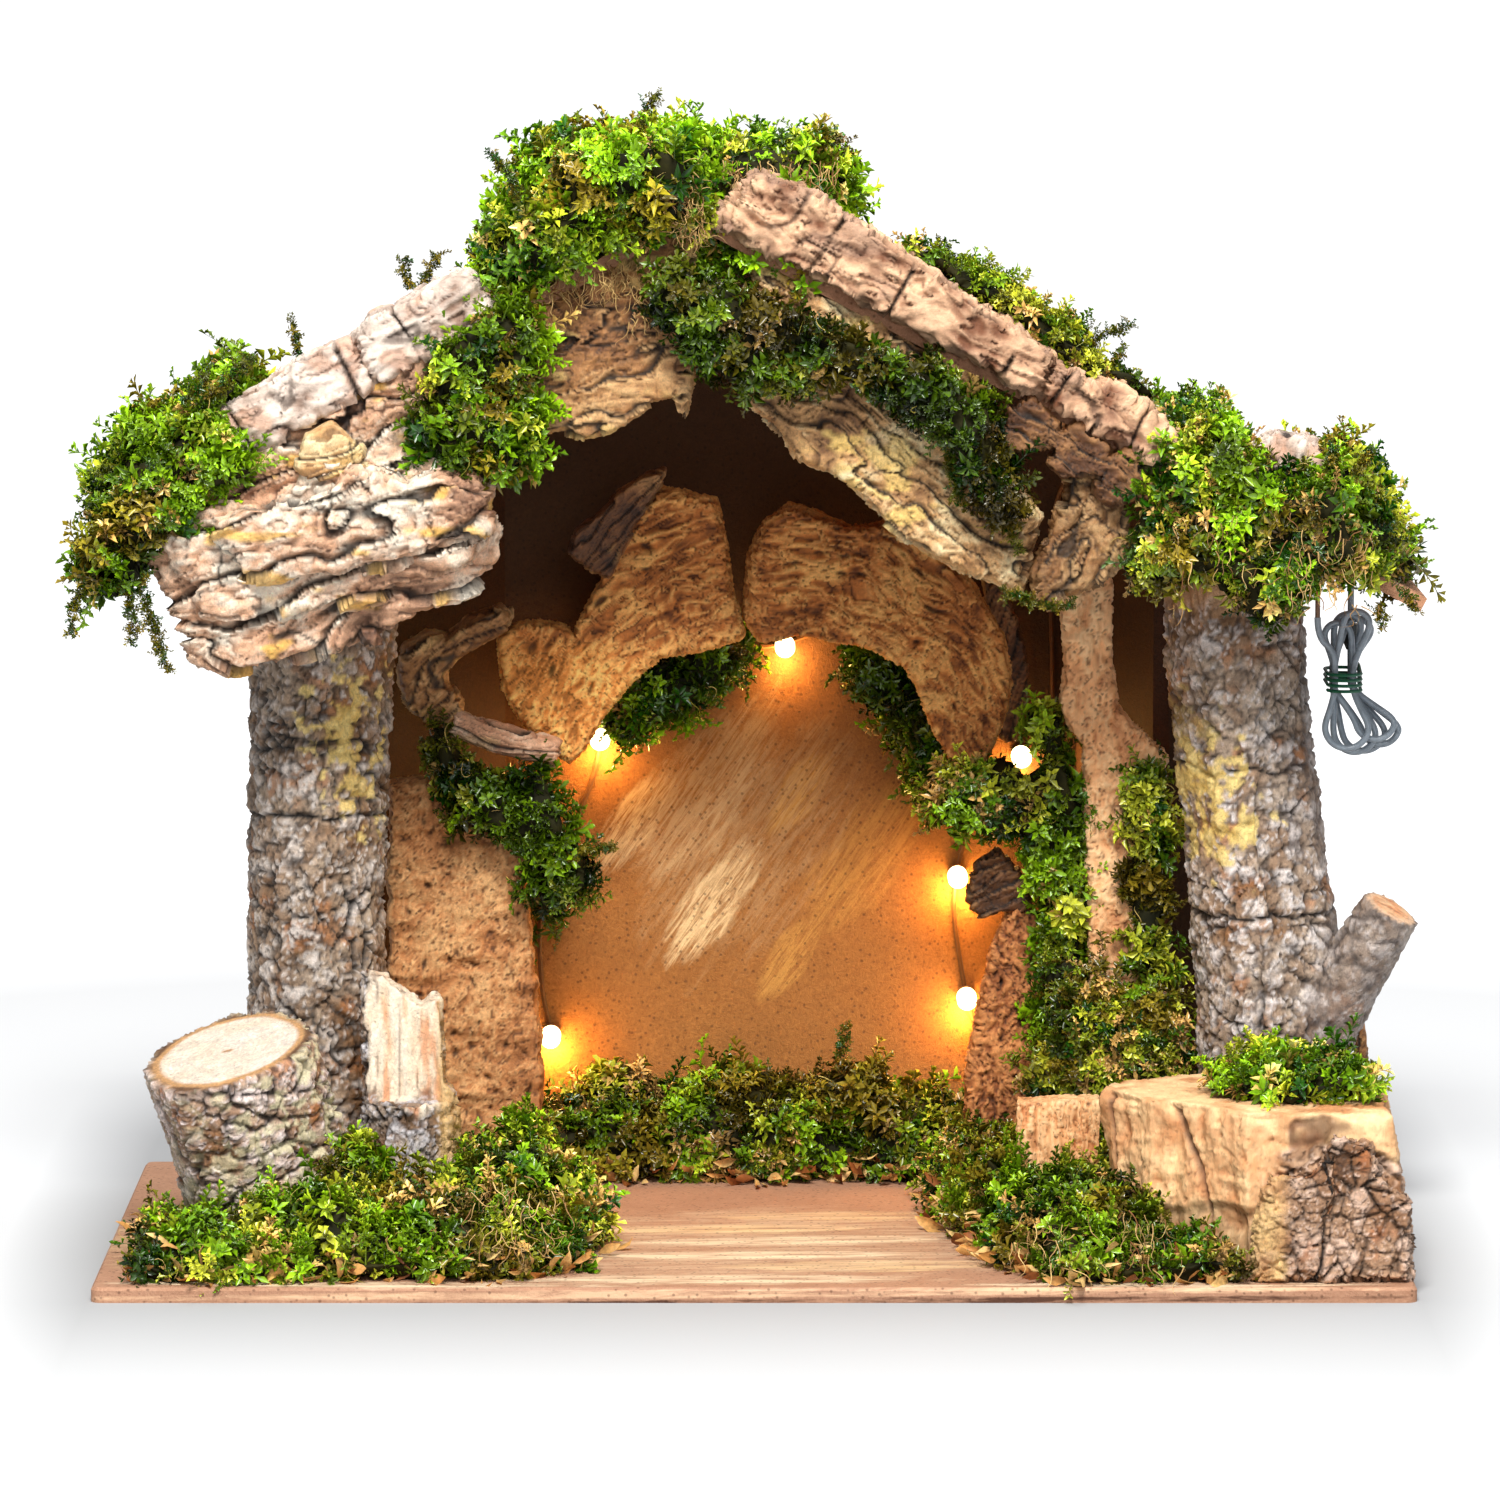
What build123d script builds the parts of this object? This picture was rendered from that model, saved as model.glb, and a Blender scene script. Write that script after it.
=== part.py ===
"""Nativity stable of hardboard, natural bark, cork and moss, with a string of small lights.

The frame is the stable's own: +X to the right, +Y to the back, +Z up, in millimetres.
The origin is the centre of the base board's underside, which is what the stable rests on.
Pieces are named for where they sit as one looks into the stable.
"""

import math
import os

from build123d import *

os.makedirs("parts", exist_ok=True)

# Base board and hardboard shell
base_width = 350.0
base_depth = 200.0
board = 4.0
base_corner = 3.0
base_edge = 0.8
ridge_x = -17.0
ridge_rise = 276.0
eave_left_x = -182.0
eave_left_rise = 184.0
eave_right_x = 180.0
eave_right_rise = 171.5
roof_setback = 75.0
wall_left_x = -143.0
wall_right_x = 150.0
panel_setback = 7.0
panel_left_x = -104.0
panel_left_end_x = -71.0
panel_right_x = 112.0
panel_right_end_x = 92.0
panel_right_rise = 196.0
overrun = 60.0

floor = board
back_face = base_depth / 2 - board
roof_front = roof_setback - base_depth / 2
ridge_z = floor + ridge_rise
eave_left_z = floor + eave_left_rise
eave_right_z = floor + eave_right_rise
left_run = ridge_x - eave_left_x
right_run = eave_right_x - ridge_x
left_angle = math.atan2(ridge_z - eave_left_z, left_run)
right_angle = math.atan2(ridge_z - eave_right_z, right_run)

# Posts and logs
post_radius = 20.0
post_setback = 51.0
post_left_x = -120.0
post_right_x = 146.0
post_right_top_x = 129.0
post_sway = 1.5
stub_radius = 8.5
stub_root_x = 150.0
stub_root_rise = 38.0
stub_tip_x = 176.0
stub_forward = 12.0
stub_tip_rise = 85.5
stump_radius = 22.5
stump_x = -129.0
stump_forward = 45.0
stump_top_x = -142.5
stump_lean_forward = 15.0
stump_top_rise = 53.0
split_log_radius = 13.5
split_log_x = -94.5
split_log_forward = 35.0
split_log_height = 71.0
split_face_forward = 5.0
split_face_slope = 5.0
split_start_height = 36.0

# Bark on the roof, measured down each slope from the ridge
verge_front = 8.0
verge_depth = 21.0
verge_left_start = 57.0
verge_left_upper_length = 37.0
verge_left_upper_height = 15.5
verge_left_lower_length = 47.0
verge_left_lower_height = 14.5
verge_crack = 0.4
verge_right_start = 5.0
verge_right_length = 99.0
verge_right_height = 18.5
verge_right_lower_length = 42.0
verge_right_lower_height = 10.0
verge_moss_start = 50.0
verge_moss_length = 88.0
verge_moss_height = 25.0
verge_moss_overlap = 10.0
verge_moss_depth = 30.0
knob_start = 165.0
knob_length = 21.0
knob_height = 21.0
knob_setback = 22.0
knob_depth = 24.0

# Bark that closes the gable and the eaves
gable_thickness = 11.0
gable_top_x = -62.0
gable_top_width = 46.5
gable_top_drop = 59.0
gable_right_x = -1.0
gable_right_width = 77.0
gable_right_drop = 100.0
gable_far_width = 25.0
gable_far_drop = 103.0
chip_thickness = 7.0
chip_x = 66.0
chip_drop = 17.0
chip_width = 17.0
chip_height = 15.0
chip_step_x = 13.0
chip_count = 3
eave_bark_x = -162.5
eave_bark_drop = 120.0
eave_bark_width = 94.0
eave_bark_height = 62.0
eave_bark_thickness = 17.0
eave_hanger_start = 80.0
eave_hanger_length = 70.0
eave_hanger_in = 16.0
eave_hanger_low = 30.0
eave_chip_x = -123.0
eave_chip_drop = 68.0
eave_chip_width = 19.0
eave_chip_height = 15.0
eave_chip_thickness = 7.0

# Inner arch of cork and the bark beside it
arch_reach = 46.0
arch_thickness = 12.0
arch_left_x = -71.0
arch_left_rise = 121.5
arch_left_width = 67.5
arch_left_height = 76.0
arch_gap = 0.8
arch_right_rise = 117.0
arch_right_width = 74.5
arch_right_height = 76.0
peel_x = 64.0
peel_rise = 125.0
peel_width = 13.0
peel_height = 50.0
peel_thickness = 6.0
curl_x = -52.5
curl_rise = 174.0
curl_width = 28.0
curl_height = 30.0
curl_thickness = 6.0
curl_seat = 4.0
knot_x = -99.0
knot_rise = 126.0
knot_width = 31.0
knot_height = 39.0
knot_forward = 6.0
knot_thickness = 15.0
roll_radius = 4.6
roll_x = -84.0
roll_rise = 133.0
roll_end_x = -55.0
roll_end_rise = 124.5
roll_seat = 0.1
side_bark_x = -102.0
side_bark_forward = 5.0
side_bark_width = 42.0
side_bark_height = 117.0
side_bark_thickness = 10.0
branch_x = 86.0
branch_width = 29.5
branch_back = 12.0
branch_thickness = 7.0
inner_cork_x = 59.5
inner_cork_width = 23.0
inner_cork_height = 80.5
inner_cork_thickness = 10.0
inner_chip_width = 18.5
inner_chip_height = 19.0
inner_chip_thickness = 6.0
inner_chip_lap = 3.0

# Cork on the base at the right
block_x = 95.0
block_width = 80.0
block_setback = 9.0
block_depth = 68.0
block_height = 44.5
block_lean = 7.0
flake_x = 132.0
flake_width = 42.0
flake_height = 40.0
flake_thickness = 3.0
block_margin = 2.0
ribbed_x = 72.0
ribbed_width = 22.0
ribbed_setback = 67.0
ribbed_depth = 12.0
ribbed_height = 37.0
rib_depth = 1.4
rib_count = 6
rear_strip_x = 169.5
rear_strip_width = 4.5
rear_strip_reach = 34.0
rear_strip_depth = 8.0
rear_strip_height = 48.0

# Moss
moss_overhang = 17.0
ridge_moss_x = -78.0
ridge_moss_width = 108.0
ridge_moss_height = 62.0
ridge_moss_sink = 24.0
ridge_moss_depth = 92.0
gable_moss_left_x = -95.0
gable_moss_left_width = 39.0
gable_moss_left_drop = 72.0
gable_moss_left_height = 58.0
gable_moss_right_x = -31.0
gable_moss_right_width = 101.0
gable_moss_right_drop = 86.0
gable_moss_right_height = 82.0
eave_moss_left_x = -186.0
eave_moss_left_width = 63.0
eave_moss_left_drop = 14.0
eave_moss_left_height = 72.0
eave_moss_depth = 84.0
eave_moss_right_x = 92.0
eave_moss_right_width = 91.5
eave_moss_right_drop = 14.0
eave_moss_right_height = 74.0
inner_moss_forward = 15.0
inner_moss_left_x = -93.5
inner_moss_left_width = 50.0
inner_moss_left_rise = 74.0
inner_moss_left_height = 62.0
inner_moss_right_x = 74.0
inner_moss_right_width = 20.0
inner_moss_right_rise = 34.0
inner_moss_right_height = 108.0
foot_moss_x = 47.0
foot_moss_width = 34.0
foot_moss_rise = 99.0
foot_moss_height = 26.0
post_moss_x = 102.0
post_moss_width = 15.0
post_moss_rise = 58.0
post_moss_height = 68.0
post_moss_depth = 7.0
pad_left_x = -40.0
pad_left_width = 38.0
pad_left_rise = 124.0
pad_left_height = 30.0
pad_right_x = 27.0
pad_right_width = 29.0
pad_right_rise = 106.0
pad_right_height = 44.0
back_moss_x = -84.0
back_moss_width = 160.0
back_moss_depth = 36.0
back_moss_height = 31.0
base_moss_left_x = -168.0
base_moss_left_width = 128.0
base_moss_left_behind = 5.0
base_moss_left_height = 27.0
base_moss_right_x = 47.0
base_moss_right_width = 88.0
base_moss_right_behind = 13.0
base_moss_right_height = 29.0
base_moss_setback = 3.0
block_moss_x = 120.0
block_moss_width = 48.0
block_moss_setback = 13.0
block_moss_depth = 52.0
block_moss_height = 11.0

# String of lights on the back wall, places measured from the middle and up from the floor
wire_diameter = 1.4
wire_seat = 0.1
socket_diameter = 5.0
socket_length = 9.0
bulb_diameter = 4.2
bulb_length = 7.5
bulb_tip = 2.2
bulb_tip_diameter = 1.4
light_1_x = 8.8
light_1_rise = 150.5
light_2_x = -43.7
light_2_rise = 124.0
light_3_x = -58.0
light_3_rise = 38.5
light_4_x = 76.0
light_4_rise = 119.0
light_5_x = 58.0
light_5_rise = 84.5
light_6_x = 60.7
light_6_rise = 49.5

# Lead that hangs in a tied hank under the right eave
lead_diameter = 1.8
hank_x = 162.5
hank_forward = 6.0
hank_z = 153.0
hank_step = 2.4
hank_waist = 2.6
hank_grip = 3.5
tie_diameter = 1.0
tie_turns = 4
tie_step = 1.5
tie_gap = 0.6
connector_radius = 2.2
connector_length = 7.2
connector_taper = 2.4
connector_rise = 6.8
connector_lip = 0.3
wire_sides = 6
hank_sides = 6
socket_sides = 10
gap_points_share = 3
gap_skip_diameters = 4

# Loops of the hank, from the front: how far each leans to the right, its radius and its reach
hank_lower_loops = ((3.4, 7.2, 19.5), (6.2, 6.0, 17.6), (4.6, 6.2, 17.9), (7.4, 5.4, 18.4), (5.0, 6.8, 18.8))
hank_upper_loops = ((1.6, 3.8, 17.8), (-0.4, 3.7, 14.2), (2.2, 3.8, 16.6), (0.6, 3.7, 15.4))

# Places from front to back that follow from the sizes above
front_edge = -base_depth / 2
post_y = roof_front + post_setback
stub_tip_y = post_y - stub_forward
stump_y = post_y - stump_forward
stump_top_y = stump_y - stump_lean_forward
split_log_y = post_y - split_log_forward
split_face_y = split_log_y - split_face_forward
arch_front = back_face - arch_reach
panel_start = arch_front + panel_setback
knot_front = arch_front - knot_forward
side_bark_front = arch_front - side_bark_forward
branch_front = post_y + branch_back
block_front = front_edge + block_setback
ribbed_front = block_front + ribbed_setback
rear_strip_front = back_face - rear_strip_reach
moss_front = roof_front - moss_overhang
inner_moss_front = arch_front - inner_moss_forward
base_moss_front = front_edge + base_moss_setback
base_moss_left_depth = post_y + base_moss_left_behind - base_moss_front
base_moss_right_depth = arch_front + base_moss_right_behind - base_moss_front
block_moss_front = block_front + block_moss_setback
hank_turns = len(hank_lower_loops)
hank_y = post_y - hank_forward
hank_front = hank_y - hank_turns * hank_step / 2
hank_back = hank_front + hank_turns * hank_step

# How each kind of piece draws in from front to back: shares of depth and of outline
plate_shares = ((0.0, 0.93), (0.35, 1.0), (1.0, 1.0))
cork_shares = ((0.0, 0.97), (0.25, 1.0), (1.0, 1.0))
tuft_shares = ((0.0, 0.62), (0.25, 0.94), (0.6, 1.0), (1.0, 0.8))
pad_shares = ((0.0, 0.85), (0.3, 1.0), (1.0, 1.0))
mound_shares = ((0.0, 1.0), (0.45, 0.94), (0.8, 0.78), (1.0, 0.5))
block_rise_shares = ((0.0, 1.0), (0.5, 0.97), (0.93, 1.0), (1.0, 0.96))

# Sections of trunks, corner by corner, as shares of their radius
trunk_lobes_shares = (1.0, 0.94, 1.02, 0.97, 0.92, 1.03, 0.98, 0.94, 1.0, 1.04, 0.93, 0.98)
stub_lobes_shares = (1.0, 0.95, 1.0, 0.94, 1.0, 0.96, 1.02, 0.95)

# Sections up the round pieces: share of the length, share of the bend if any, share of the thickness
post_left_level_shares = ((0.0, 0.0, 1.0), (0.35, -1.0, 0.97), (0.7, 0.5, 1.03), (1.0, 1.0, 0.98))
post_right_level_shares = ((0.0, 0.0, 1.06), (0.3, 0.2, 1.04), (0.62, 0.65, 0.97), (1.0, 1.0, 1.04))
stub_level_shares = ((0.0, 1.45), (0.55, 1.05), (1.0, 0.95))
stump_level_shares = ((-0.35, 1.04), (0.5, 0.98), (1.0, 1.0))
roll_level_shares = ((0.0, 0.85), (0.4, 1.0), (1.0, 0.9))

# Outlines, as shares of each piece's own width and height
split_spike_shares = (
    (0.0, 0.72), (0.27, 0.72), (0.37, 0.69), (0.46, 0.6), (0.56, 0.52), (0.6, 0.56),
    (0.66, 0.57), (0.68, 0.1), (0.75, 0.02), (1.0, 0.0), (1.0, 1.2), (0.0, 1.2),
)
verge_upper_shares = (
    (0.0, 0.0), (1.0, 0.0), (0.98, 0.85), (0.8, 1.0), (0.5, 0.92), (0.2, 0.97), (0.05, 0.8),
)
verge_lower_shares = (
    (0.0, 0.0), (0.97, 0.0), (1.0, 0.35), (0.99, 1.0), (0.6, 0.93), (0.3, 1.0), (0.02, 0.92),
)
verge_right_shares = (
    (0.0, 0.0), (1.0, 0.0), (0.99, 0.5), (0.82, 0.64), (0.6, 0.8), (0.35, 0.92),
    (0.15, 1.0), (0.04, 0.85),
)
verge_tail_shares = (
    (0.0, 0.0), (1.0, 0.0), (1.0, 0.4), (0.7, 0.8), (0.45, 1.0), (0.2, 0.75), (0.0, 0.9),
)
knob_shares = ((0.0, 0.0), (1.0, 0.0), (0.95, 0.7), (0.7, 1.0), (0.3, 0.95), (0.05, 0.6))
gable_top_shares = (
    (0.02, 0.2), (0.06, 0.02), (0.21, 0.06), (0.36, 0.02), (0.52, 0.07), (0.73, 0.18),
    (0.9, 0.23), (0.94, 0.1), (0.97, 0.28), (1.0, 0.42), (1.0, 1.0), (0.0, 1.0),
)
gable_right_shares = (
    (0.0, 0.52), (0.1, 0.45), (0.15, 0.38), (0.3, 0.34), (0.41, 0.26), (0.51, 0.17),
    (0.66, 0.1), (0.82, 0.05), (0.95, 0.0), (0.98, 0.1), (1.0, 0.21), (0.91, 0.32),
    (0.8, 0.45), (0.72, 0.95), (0.0, 0.95),
)
gable_far_shares = (
    (0.07, 0.0), (0.33, 0.03), (0.64, 0.05), (1.0, 0.13), (0.95, 0.29), (0.9, 0.6),
    (0.4, 0.6), (0.33, 0.31), (0.17, 0.18), (0.0, 0.09),
)
chip_shares = (
    (0.0, 0.25), (0.2, 0.0), (0.6, 0.1), (1.0, 0.05), (0.95, 0.55), (0.75, 0.75),
    (0.5, 1.0), (0.15, 0.8),
)
eave_bark_shares = (
    (0.1, 0.14), (0.11, 0.02), (0.24, 0.0), (0.43, 0.07), (0.66, 0.14), (0.77, 0.29),
    (0.91, 0.35), (0.99, 0.48), (0.98, 0.74), (0.97, 0.87), (0.83, 0.96), (0.71, 0.87),
    (0.51, 1.0), (0.4, 0.83), (0.29, 0.72), (0.11, 0.66), (0.0, 0.48), (0.03, 0.35),
)
eave_layers_shares = ((0.0, 0.0, 1.0, 1.0), (0.05, 0.22, 0.92, 0.72), (0.18, 0.42, 0.8, 0.46))
arch_left_shares = (
    (0.0, 0.45), (0.08, 0.5), (0.25, 0.49), (0.31, 0.45), (0.35, 0.53), (0.41, 0.64),
    (0.5, 0.8), (0.6, 0.93), (0.66, 1.0), (0.79, 0.98), (0.89, 0.96), (0.93, 0.81),
    (0.95, 0.64), (1.0, 0.47), (0.83, 0.42), (0.66, 0.4), (0.58, 0.34), (0.5, 0.27),
    (0.41, 0.16), (0.35, 0.06), (0.29, 0.0), (0.18, 0.06), (0.08, 0.17), (0.02, 0.27),
)
arch_right_shares = (
    (0.01, 0.59), (0.02, 0.81), (0.08, 0.94), (0.17, 1.0), (0.29, 0.96), (0.4, 0.92),
    (0.55, 0.94), (0.68, 0.85), (0.82, 0.74), (0.91, 0.62), (0.97, 0.51), (1.0, 0.36),
    (0.97, 0.22), (0.91, 0.07), (0.84, 0.0), (0.78, 0.07), (0.72, 0.18), (0.67, 0.33),
    (0.61, 0.42), (0.48, 0.49), (0.36, 0.51), (0.21, 0.54), (0.06, 0.51),
)
peel_shares = (
    (0.0, 0.97), (0.44, 0.92), (0.78, 0.67), (1.0, 0.39), (0.89, 0.14), (0.6, 0.0),
    (0.33, 0.08), (0.2, 0.5),
)
curl_shares = (
    (0.02, 0.23), (0.1, 0.42), (0.35, 0.6), (0.55, 0.79), (0.8, 0.96), (1.0, 1.0),
    (0.95, 0.84), (0.7, 0.5), (0.5, 0.14), (0.43, 0.0), (0.25, 0.05),
)
knot_shares = (
    (0.0, 0.5), (0.05, 0.72), (0.25, 0.8), (0.45, 0.78), (0.62, 0.9), (0.88, 1.0),
    (1.0, 0.97), (0.95, 0.86), (0.72, 0.76), (0.5, 0.66), (0.38, 0.55), (0.42, 0.44),
    (0.55, 0.32), (0.55, 0.2), (0.42, 0.15), (0.2, 0.2), (0.05, 0.32),
)
side_bark_shares = (
    (0.0, 0.0), (1.0, 0.0), (1.0, 0.33), (0.97, 0.48), (0.94, 0.6), (0.91, 0.72),
    (0.92, 0.81), (0.83, 0.86), (0.53, 0.96), (0.33, 1.0), (0.0, 0.99),
)
branch_shares = (
    (0.3, 0.0), (0.98, 0.0), (0.96, 0.25), (0.84, 0.38), (0.73, 0.45), (0.66, 0.53),
    (0.86, 0.54), (0.97, 0.56), (0.64, 0.6), (0.5, 0.63), (0.42, 0.7), (0.43, 0.76),
    (0.5, 1.1), (0.03, 1.1), (0.03, 0.76), (0.04, 0.68), (0.0, 0.63), (0.08, 0.6),
    (0.22, 0.58), (0.23, 0.5), (0.26, 0.44), (0.27, 0.35), (0.3, 0.25),
)
inner_cork_shares = (
    (0.0, 0.0), (1.0, 0.0), (1.0, 0.45), (0.92, 0.8), (0.85, 0.97), (0.6, 1.0),
    (0.35, 0.85), (0.2, 0.62), (0.05, 0.4),
)
block_plan_shares = (
    (0.0, 0.6), (0.12, 0.4), (0.44, 0.04), (0.6, 0.0), (1.0, 0.02), (1.0, 0.7),
    (0.85, 0.95), (0.35, 1.0), (0.05, 0.85),
)
flake_shares = (
    (0.0, 0.0), (1.0, 0.0), (1.0, 0.55), (0.8, 0.7), (0.75, 0.95), (0.5, 1.0),
    (0.35, 0.75), (0.1, 0.7), (0.0, 0.35),
)
strip_shares = ((0.0, 0.0), (1.0, 0.0), (0.9, 0.8), (0.6, 1.0), (0.1, 0.93))
verge_moss_shares = (
    (0.0, 0.0), (1.0, 0.0), (1.0, 0.4), (0.92, 0.62), (0.8, 0.68), (0.66, 0.86), (0.5, 0.93),
    (0.34, 1.0), (0.18, 0.94), (0.06, 0.86), (0.0, 0.5),
)
ridge_moss_shares = (
    (0.0, 0.2), (0.03, 0.35), (0.08, 0.43), (0.11, 0.56), (0.14, 0.8), (0.32, 0.89),
    (0.48, 0.95), (0.61, 0.8), (0.7, 0.69), (0.8, 0.71), (0.91, 0.78), (0.94, 0.65),
    (1.0, 0.4), (1.0, 0.02), (0.56, 0.3), (0.0, 0.0),
)
gable_moss_left_shares = (
    (0.0, 0.25), (0.1, 0.42), (0.21, 0.71), (0.5, 0.86), (0.71, 0.93), (0.95, 0.9),
    (1.0, 0.71), (1.0, 0.42), (0.93, 0.22), (0.82, 0.03), (0.57, 0.0), (0.36, 0.08),
    (0.15, 0.15),
)
gable_moss_right_shares = (
    (0.0, 0.78), (0.04, 0.92), (0.16, 0.97), (0.27, 0.89), (0.43, 0.78), (0.56, 0.75),
    (0.7, 0.68), (0.86, 0.58), (0.97, 0.49), (1.0, 0.36), (1.0, 0.09), (0.97, 0.0),
    (0.92, 0.16), (0.85, 0.32), (0.7, 0.4), (0.59, 0.53), (0.47, 0.54), (0.4, 0.49),
    (0.31, 0.47), (0.21, 0.53), (0.11, 0.62), (0.03, 0.7),
)
eave_moss_left_shares = (
    (0.97, 0.53), (0.93, 0.68), (0.8, 0.93), (0.72, 0.98), (0.55, 0.87), (0.38, 0.76),
    (0.21, 0.68), (0.08, 0.53), (0.07, 0.39), (0.13, 0.2), (0.08, 0.0), (0.17, 0.11),
    (0.38, 0.09), (0.46, 0.24), (0.72, 0.42),
)
eave_moss_right_shares = (
    (0.04, 0.69), (0.08, 0.87), (0.18, 0.94), (0.3, 0.98), (0.42, 0.91), (0.54, 0.8),
    (0.68, 0.83), (0.83, 0.76), (0.89, 0.62), (0.96, 0.4), (0.98, 0.25), (0.89, 0.25),
    (0.71, 0.27), (0.63, 0.11), (0.51, 0.02), (0.42, 0.11), (0.3, 0.22), (0.16, 0.22),
    (0.0, 0.25),
)
inner_moss_left_shares = (
    (0.03, 0.97), (0.14, 0.98), (0.22, 0.88), (0.44, 0.75), (0.72, 0.79), (0.81, 0.65),
    (0.86, 0.47), (0.94, 0.34), (1.0, 0.29), (0.92, 0.16), (0.78, 0.02), (0.64, 0.11),
    (0.61, 0.38), (0.44, 0.45), (0.22, 0.52), (0.11, 0.7),
)
inner_moss_right_shares = (
    (0.35, 1.0), (0.56, 0.87), (0.77, 0.82), (0.92, 0.72), (1.0, 0.59), (1.0, 0.0),
    (0.25, 0.0), (0.35, 0.19), (0.28, 0.38), (0.14, 0.51), (0.0, 0.61), (0.07, 0.72),
    (0.21, 0.84),
)
foot_moss_shares = (
    (0.05, 0.6), (0.2, 0.95), (0.45, 0.8), (0.7, 1.0), (0.95, 0.7), (1.0, 0.3),
    (0.75, 0.0), (0.4, 0.1), (0.1, 0.2),
)
post_moss_shares = (
    (0.3, 1.0), (0.8, 0.95), (1.0, 0.6), (0.9, 0.2), (0.6, 0.0), (0.2, 0.15),
    (0.0, 0.5), (0.15, 0.8),
)
pad_left_shares = (
    (0.0, 0.0), (0.35, 0.15), (0.7, 0.5), (1.0, 0.75), (1.0, 1.0), (0.4, 1.0), (0.1, 0.6),
)
pad_right_shares = (
    (0.0, 1.0), (0.1, 0.75), (0.5, 0.55), (0.75, 0.1), (1.0, 0.0), (1.0, 0.4),
    (0.8, 0.8), (0.4, 1.0),
)
back_moss_shares = (
    (0.1, 1.0), (0.0, 0.3), (0.08, 0.0), (0.3, 0.1), (0.5, 0.0), (0.7, 0.12),
    (0.92, 0.0), (1.0, 0.3), (1.0, 1.0),
)
base_moss_left_shares = (
    (0.02, 0.02), (0.3, 0.0), (0.6, 0.02), (0.85, 0.05), (0.97, 0.15), (1.0, 0.4),
    (0.97, 0.65), (0.95, 0.9), (0.85, 1.0), (0.7, 0.95), (0.62, 0.8), (0.3, 0.72),
    (0.0, 0.62),
)
base_moss_right_shares = (
    (0.0, 0.98), (0.03, 0.72), (0.08, 0.42), (0.2, 0.14), (0.4, 0.0), (0.95, 0.0),
    (1.0, 0.08), (0.56, 0.3), (0.58, 0.42), (0.62, 0.62), (0.68, 0.85), (0.55, 1.0),
    (0.25, 1.0),
)
block_moss_shares = (
    (0.0, 0.3), (0.15, 0.05), (0.5, 0.0), (0.85, 0.05), (1.0, 0.3), (0.95, 0.8),
    (0.6, 1.0), (0.2, 0.95), (0.0, 0.7),
)


def keep(builder, name):
    """Labels a finished piece and writes it to its own file."""
    builder.part.label = name
    export_step(builder.part, f"parts/{name}.step")


def place(shares, left, bottom, width, height):
    """Points of an outline that is written in shares of its own width and height."""
    return [(left + u * width, bottom + v * height) for u, v in shares]


def shrink(points, factor):
    """The same outline, drawn in towards its middle."""
    mid_x = sum(x for x, z in points) / len(points)
    mid_z = sum(z for x, z in points) / len(points)
    return [(mid_x + (x - mid_x) * factor, mid_z + (z - mid_z) * factor) for x, z in points]


def chunk(points, front, depth, steps):
    """A broken piece seen from the front: steps are (share of depth, share of outline)."""
    faces = []
    for along, factor in steps:
        with BuildSketch(Plane.XZ.offset(-(front + along * depth))) as face:
            with BuildLine():
                Polyline(*shrink(points, factor), close=True)
            make_face()
        faces.append(face.sketch)
    loft(faces, ruled=True)


def cushion(points, bottom, height, steps):
    """A low mound seen from above: steps are (share of height, share of outline)."""
    faces = []
    for along, factor in steps:
        with BuildSketch(Plane.XY.offset(bottom + along * height)) as face:
            with BuildLine():
                Polyline(*shrink(points, factor), close=True)
            make_face()
        faces.append(face.sketch)
    loft(faces, ruled=True)


def log(points, levels):
    """A trunk or branch: each level is its plane and the factor of its section there."""
    faces = []
    for level, factor in levels:
        with BuildSketch(level) as face:
            with BuildLine():
                Polyline(*[(u * factor, v * factor) for u, v in points], close=True)
            make_face()
        faces.append(face.sketch)
    loft(faces, ruled=True)


def rim(radius, lobe_shares):
    """An uneven trunk section: one corner for each lobe, all round the axis."""
    turn = 2 * math.pi / len(lobe_shares)
    return [
        (radius * lobe * math.cos(k * turn), radius * lobe * math.sin(k * turn))
        for k, lobe in enumerate(lobe_shares)
    ]


def levels(root, tip, shares):
    """Planes across a straight log, each with its share of the log's thickness."""
    return [
        (Plane(root + (tip - root) * along, z_dir=tip - root), thickness)
        for along, thickness in shares
    ]


def roof_z(x):
    """Height of the roof panels' underside at a place across the stable."""
    if x < ridge_x:
        return ridge_z - (ridge_x - x) * math.tan(left_angle)
    return ridge_z - (x - ridge_x) * math.tan(right_angle)


def on_left(along, up):
    """A place down the left slope from the ridge and up from the panel's underside."""
    return (
        ridge_x - along * math.cos(left_angle) - up * math.sin(left_angle),
        ridge_z - along * math.sin(left_angle) + up * math.cos(left_angle),
    )


def on_right(along, up):
    """The same for the right slope."""
    return (
        ridge_x + along * math.cos(right_angle) + up * math.sin(right_angle),
        ridge_z - along * math.sin(right_angle) + up * math.cos(right_angle),
    )


def laid(shares, slope, start, length, height):
    """Points of a piece that lies on the top face of a roof panel."""
    return [slope(start + u * length, board + v * height) for u, v in shares]


def cut_by(*others):
    """Cuts the piece that is being built by what it rests against."""
    for other in others:
        add(other.part, mode=Mode.SUBTRACT)


# Base board
with BuildPart() as base_board:
    with BuildSketch():
        RectangleRounded(base_width, base_depth, base_corner)
    extrude(amount=board)
    chamfer(base_board.faces().sort_by(Axis.Z)[-1].edges(), base_edge)
keep(base_board, "base_board")

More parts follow.
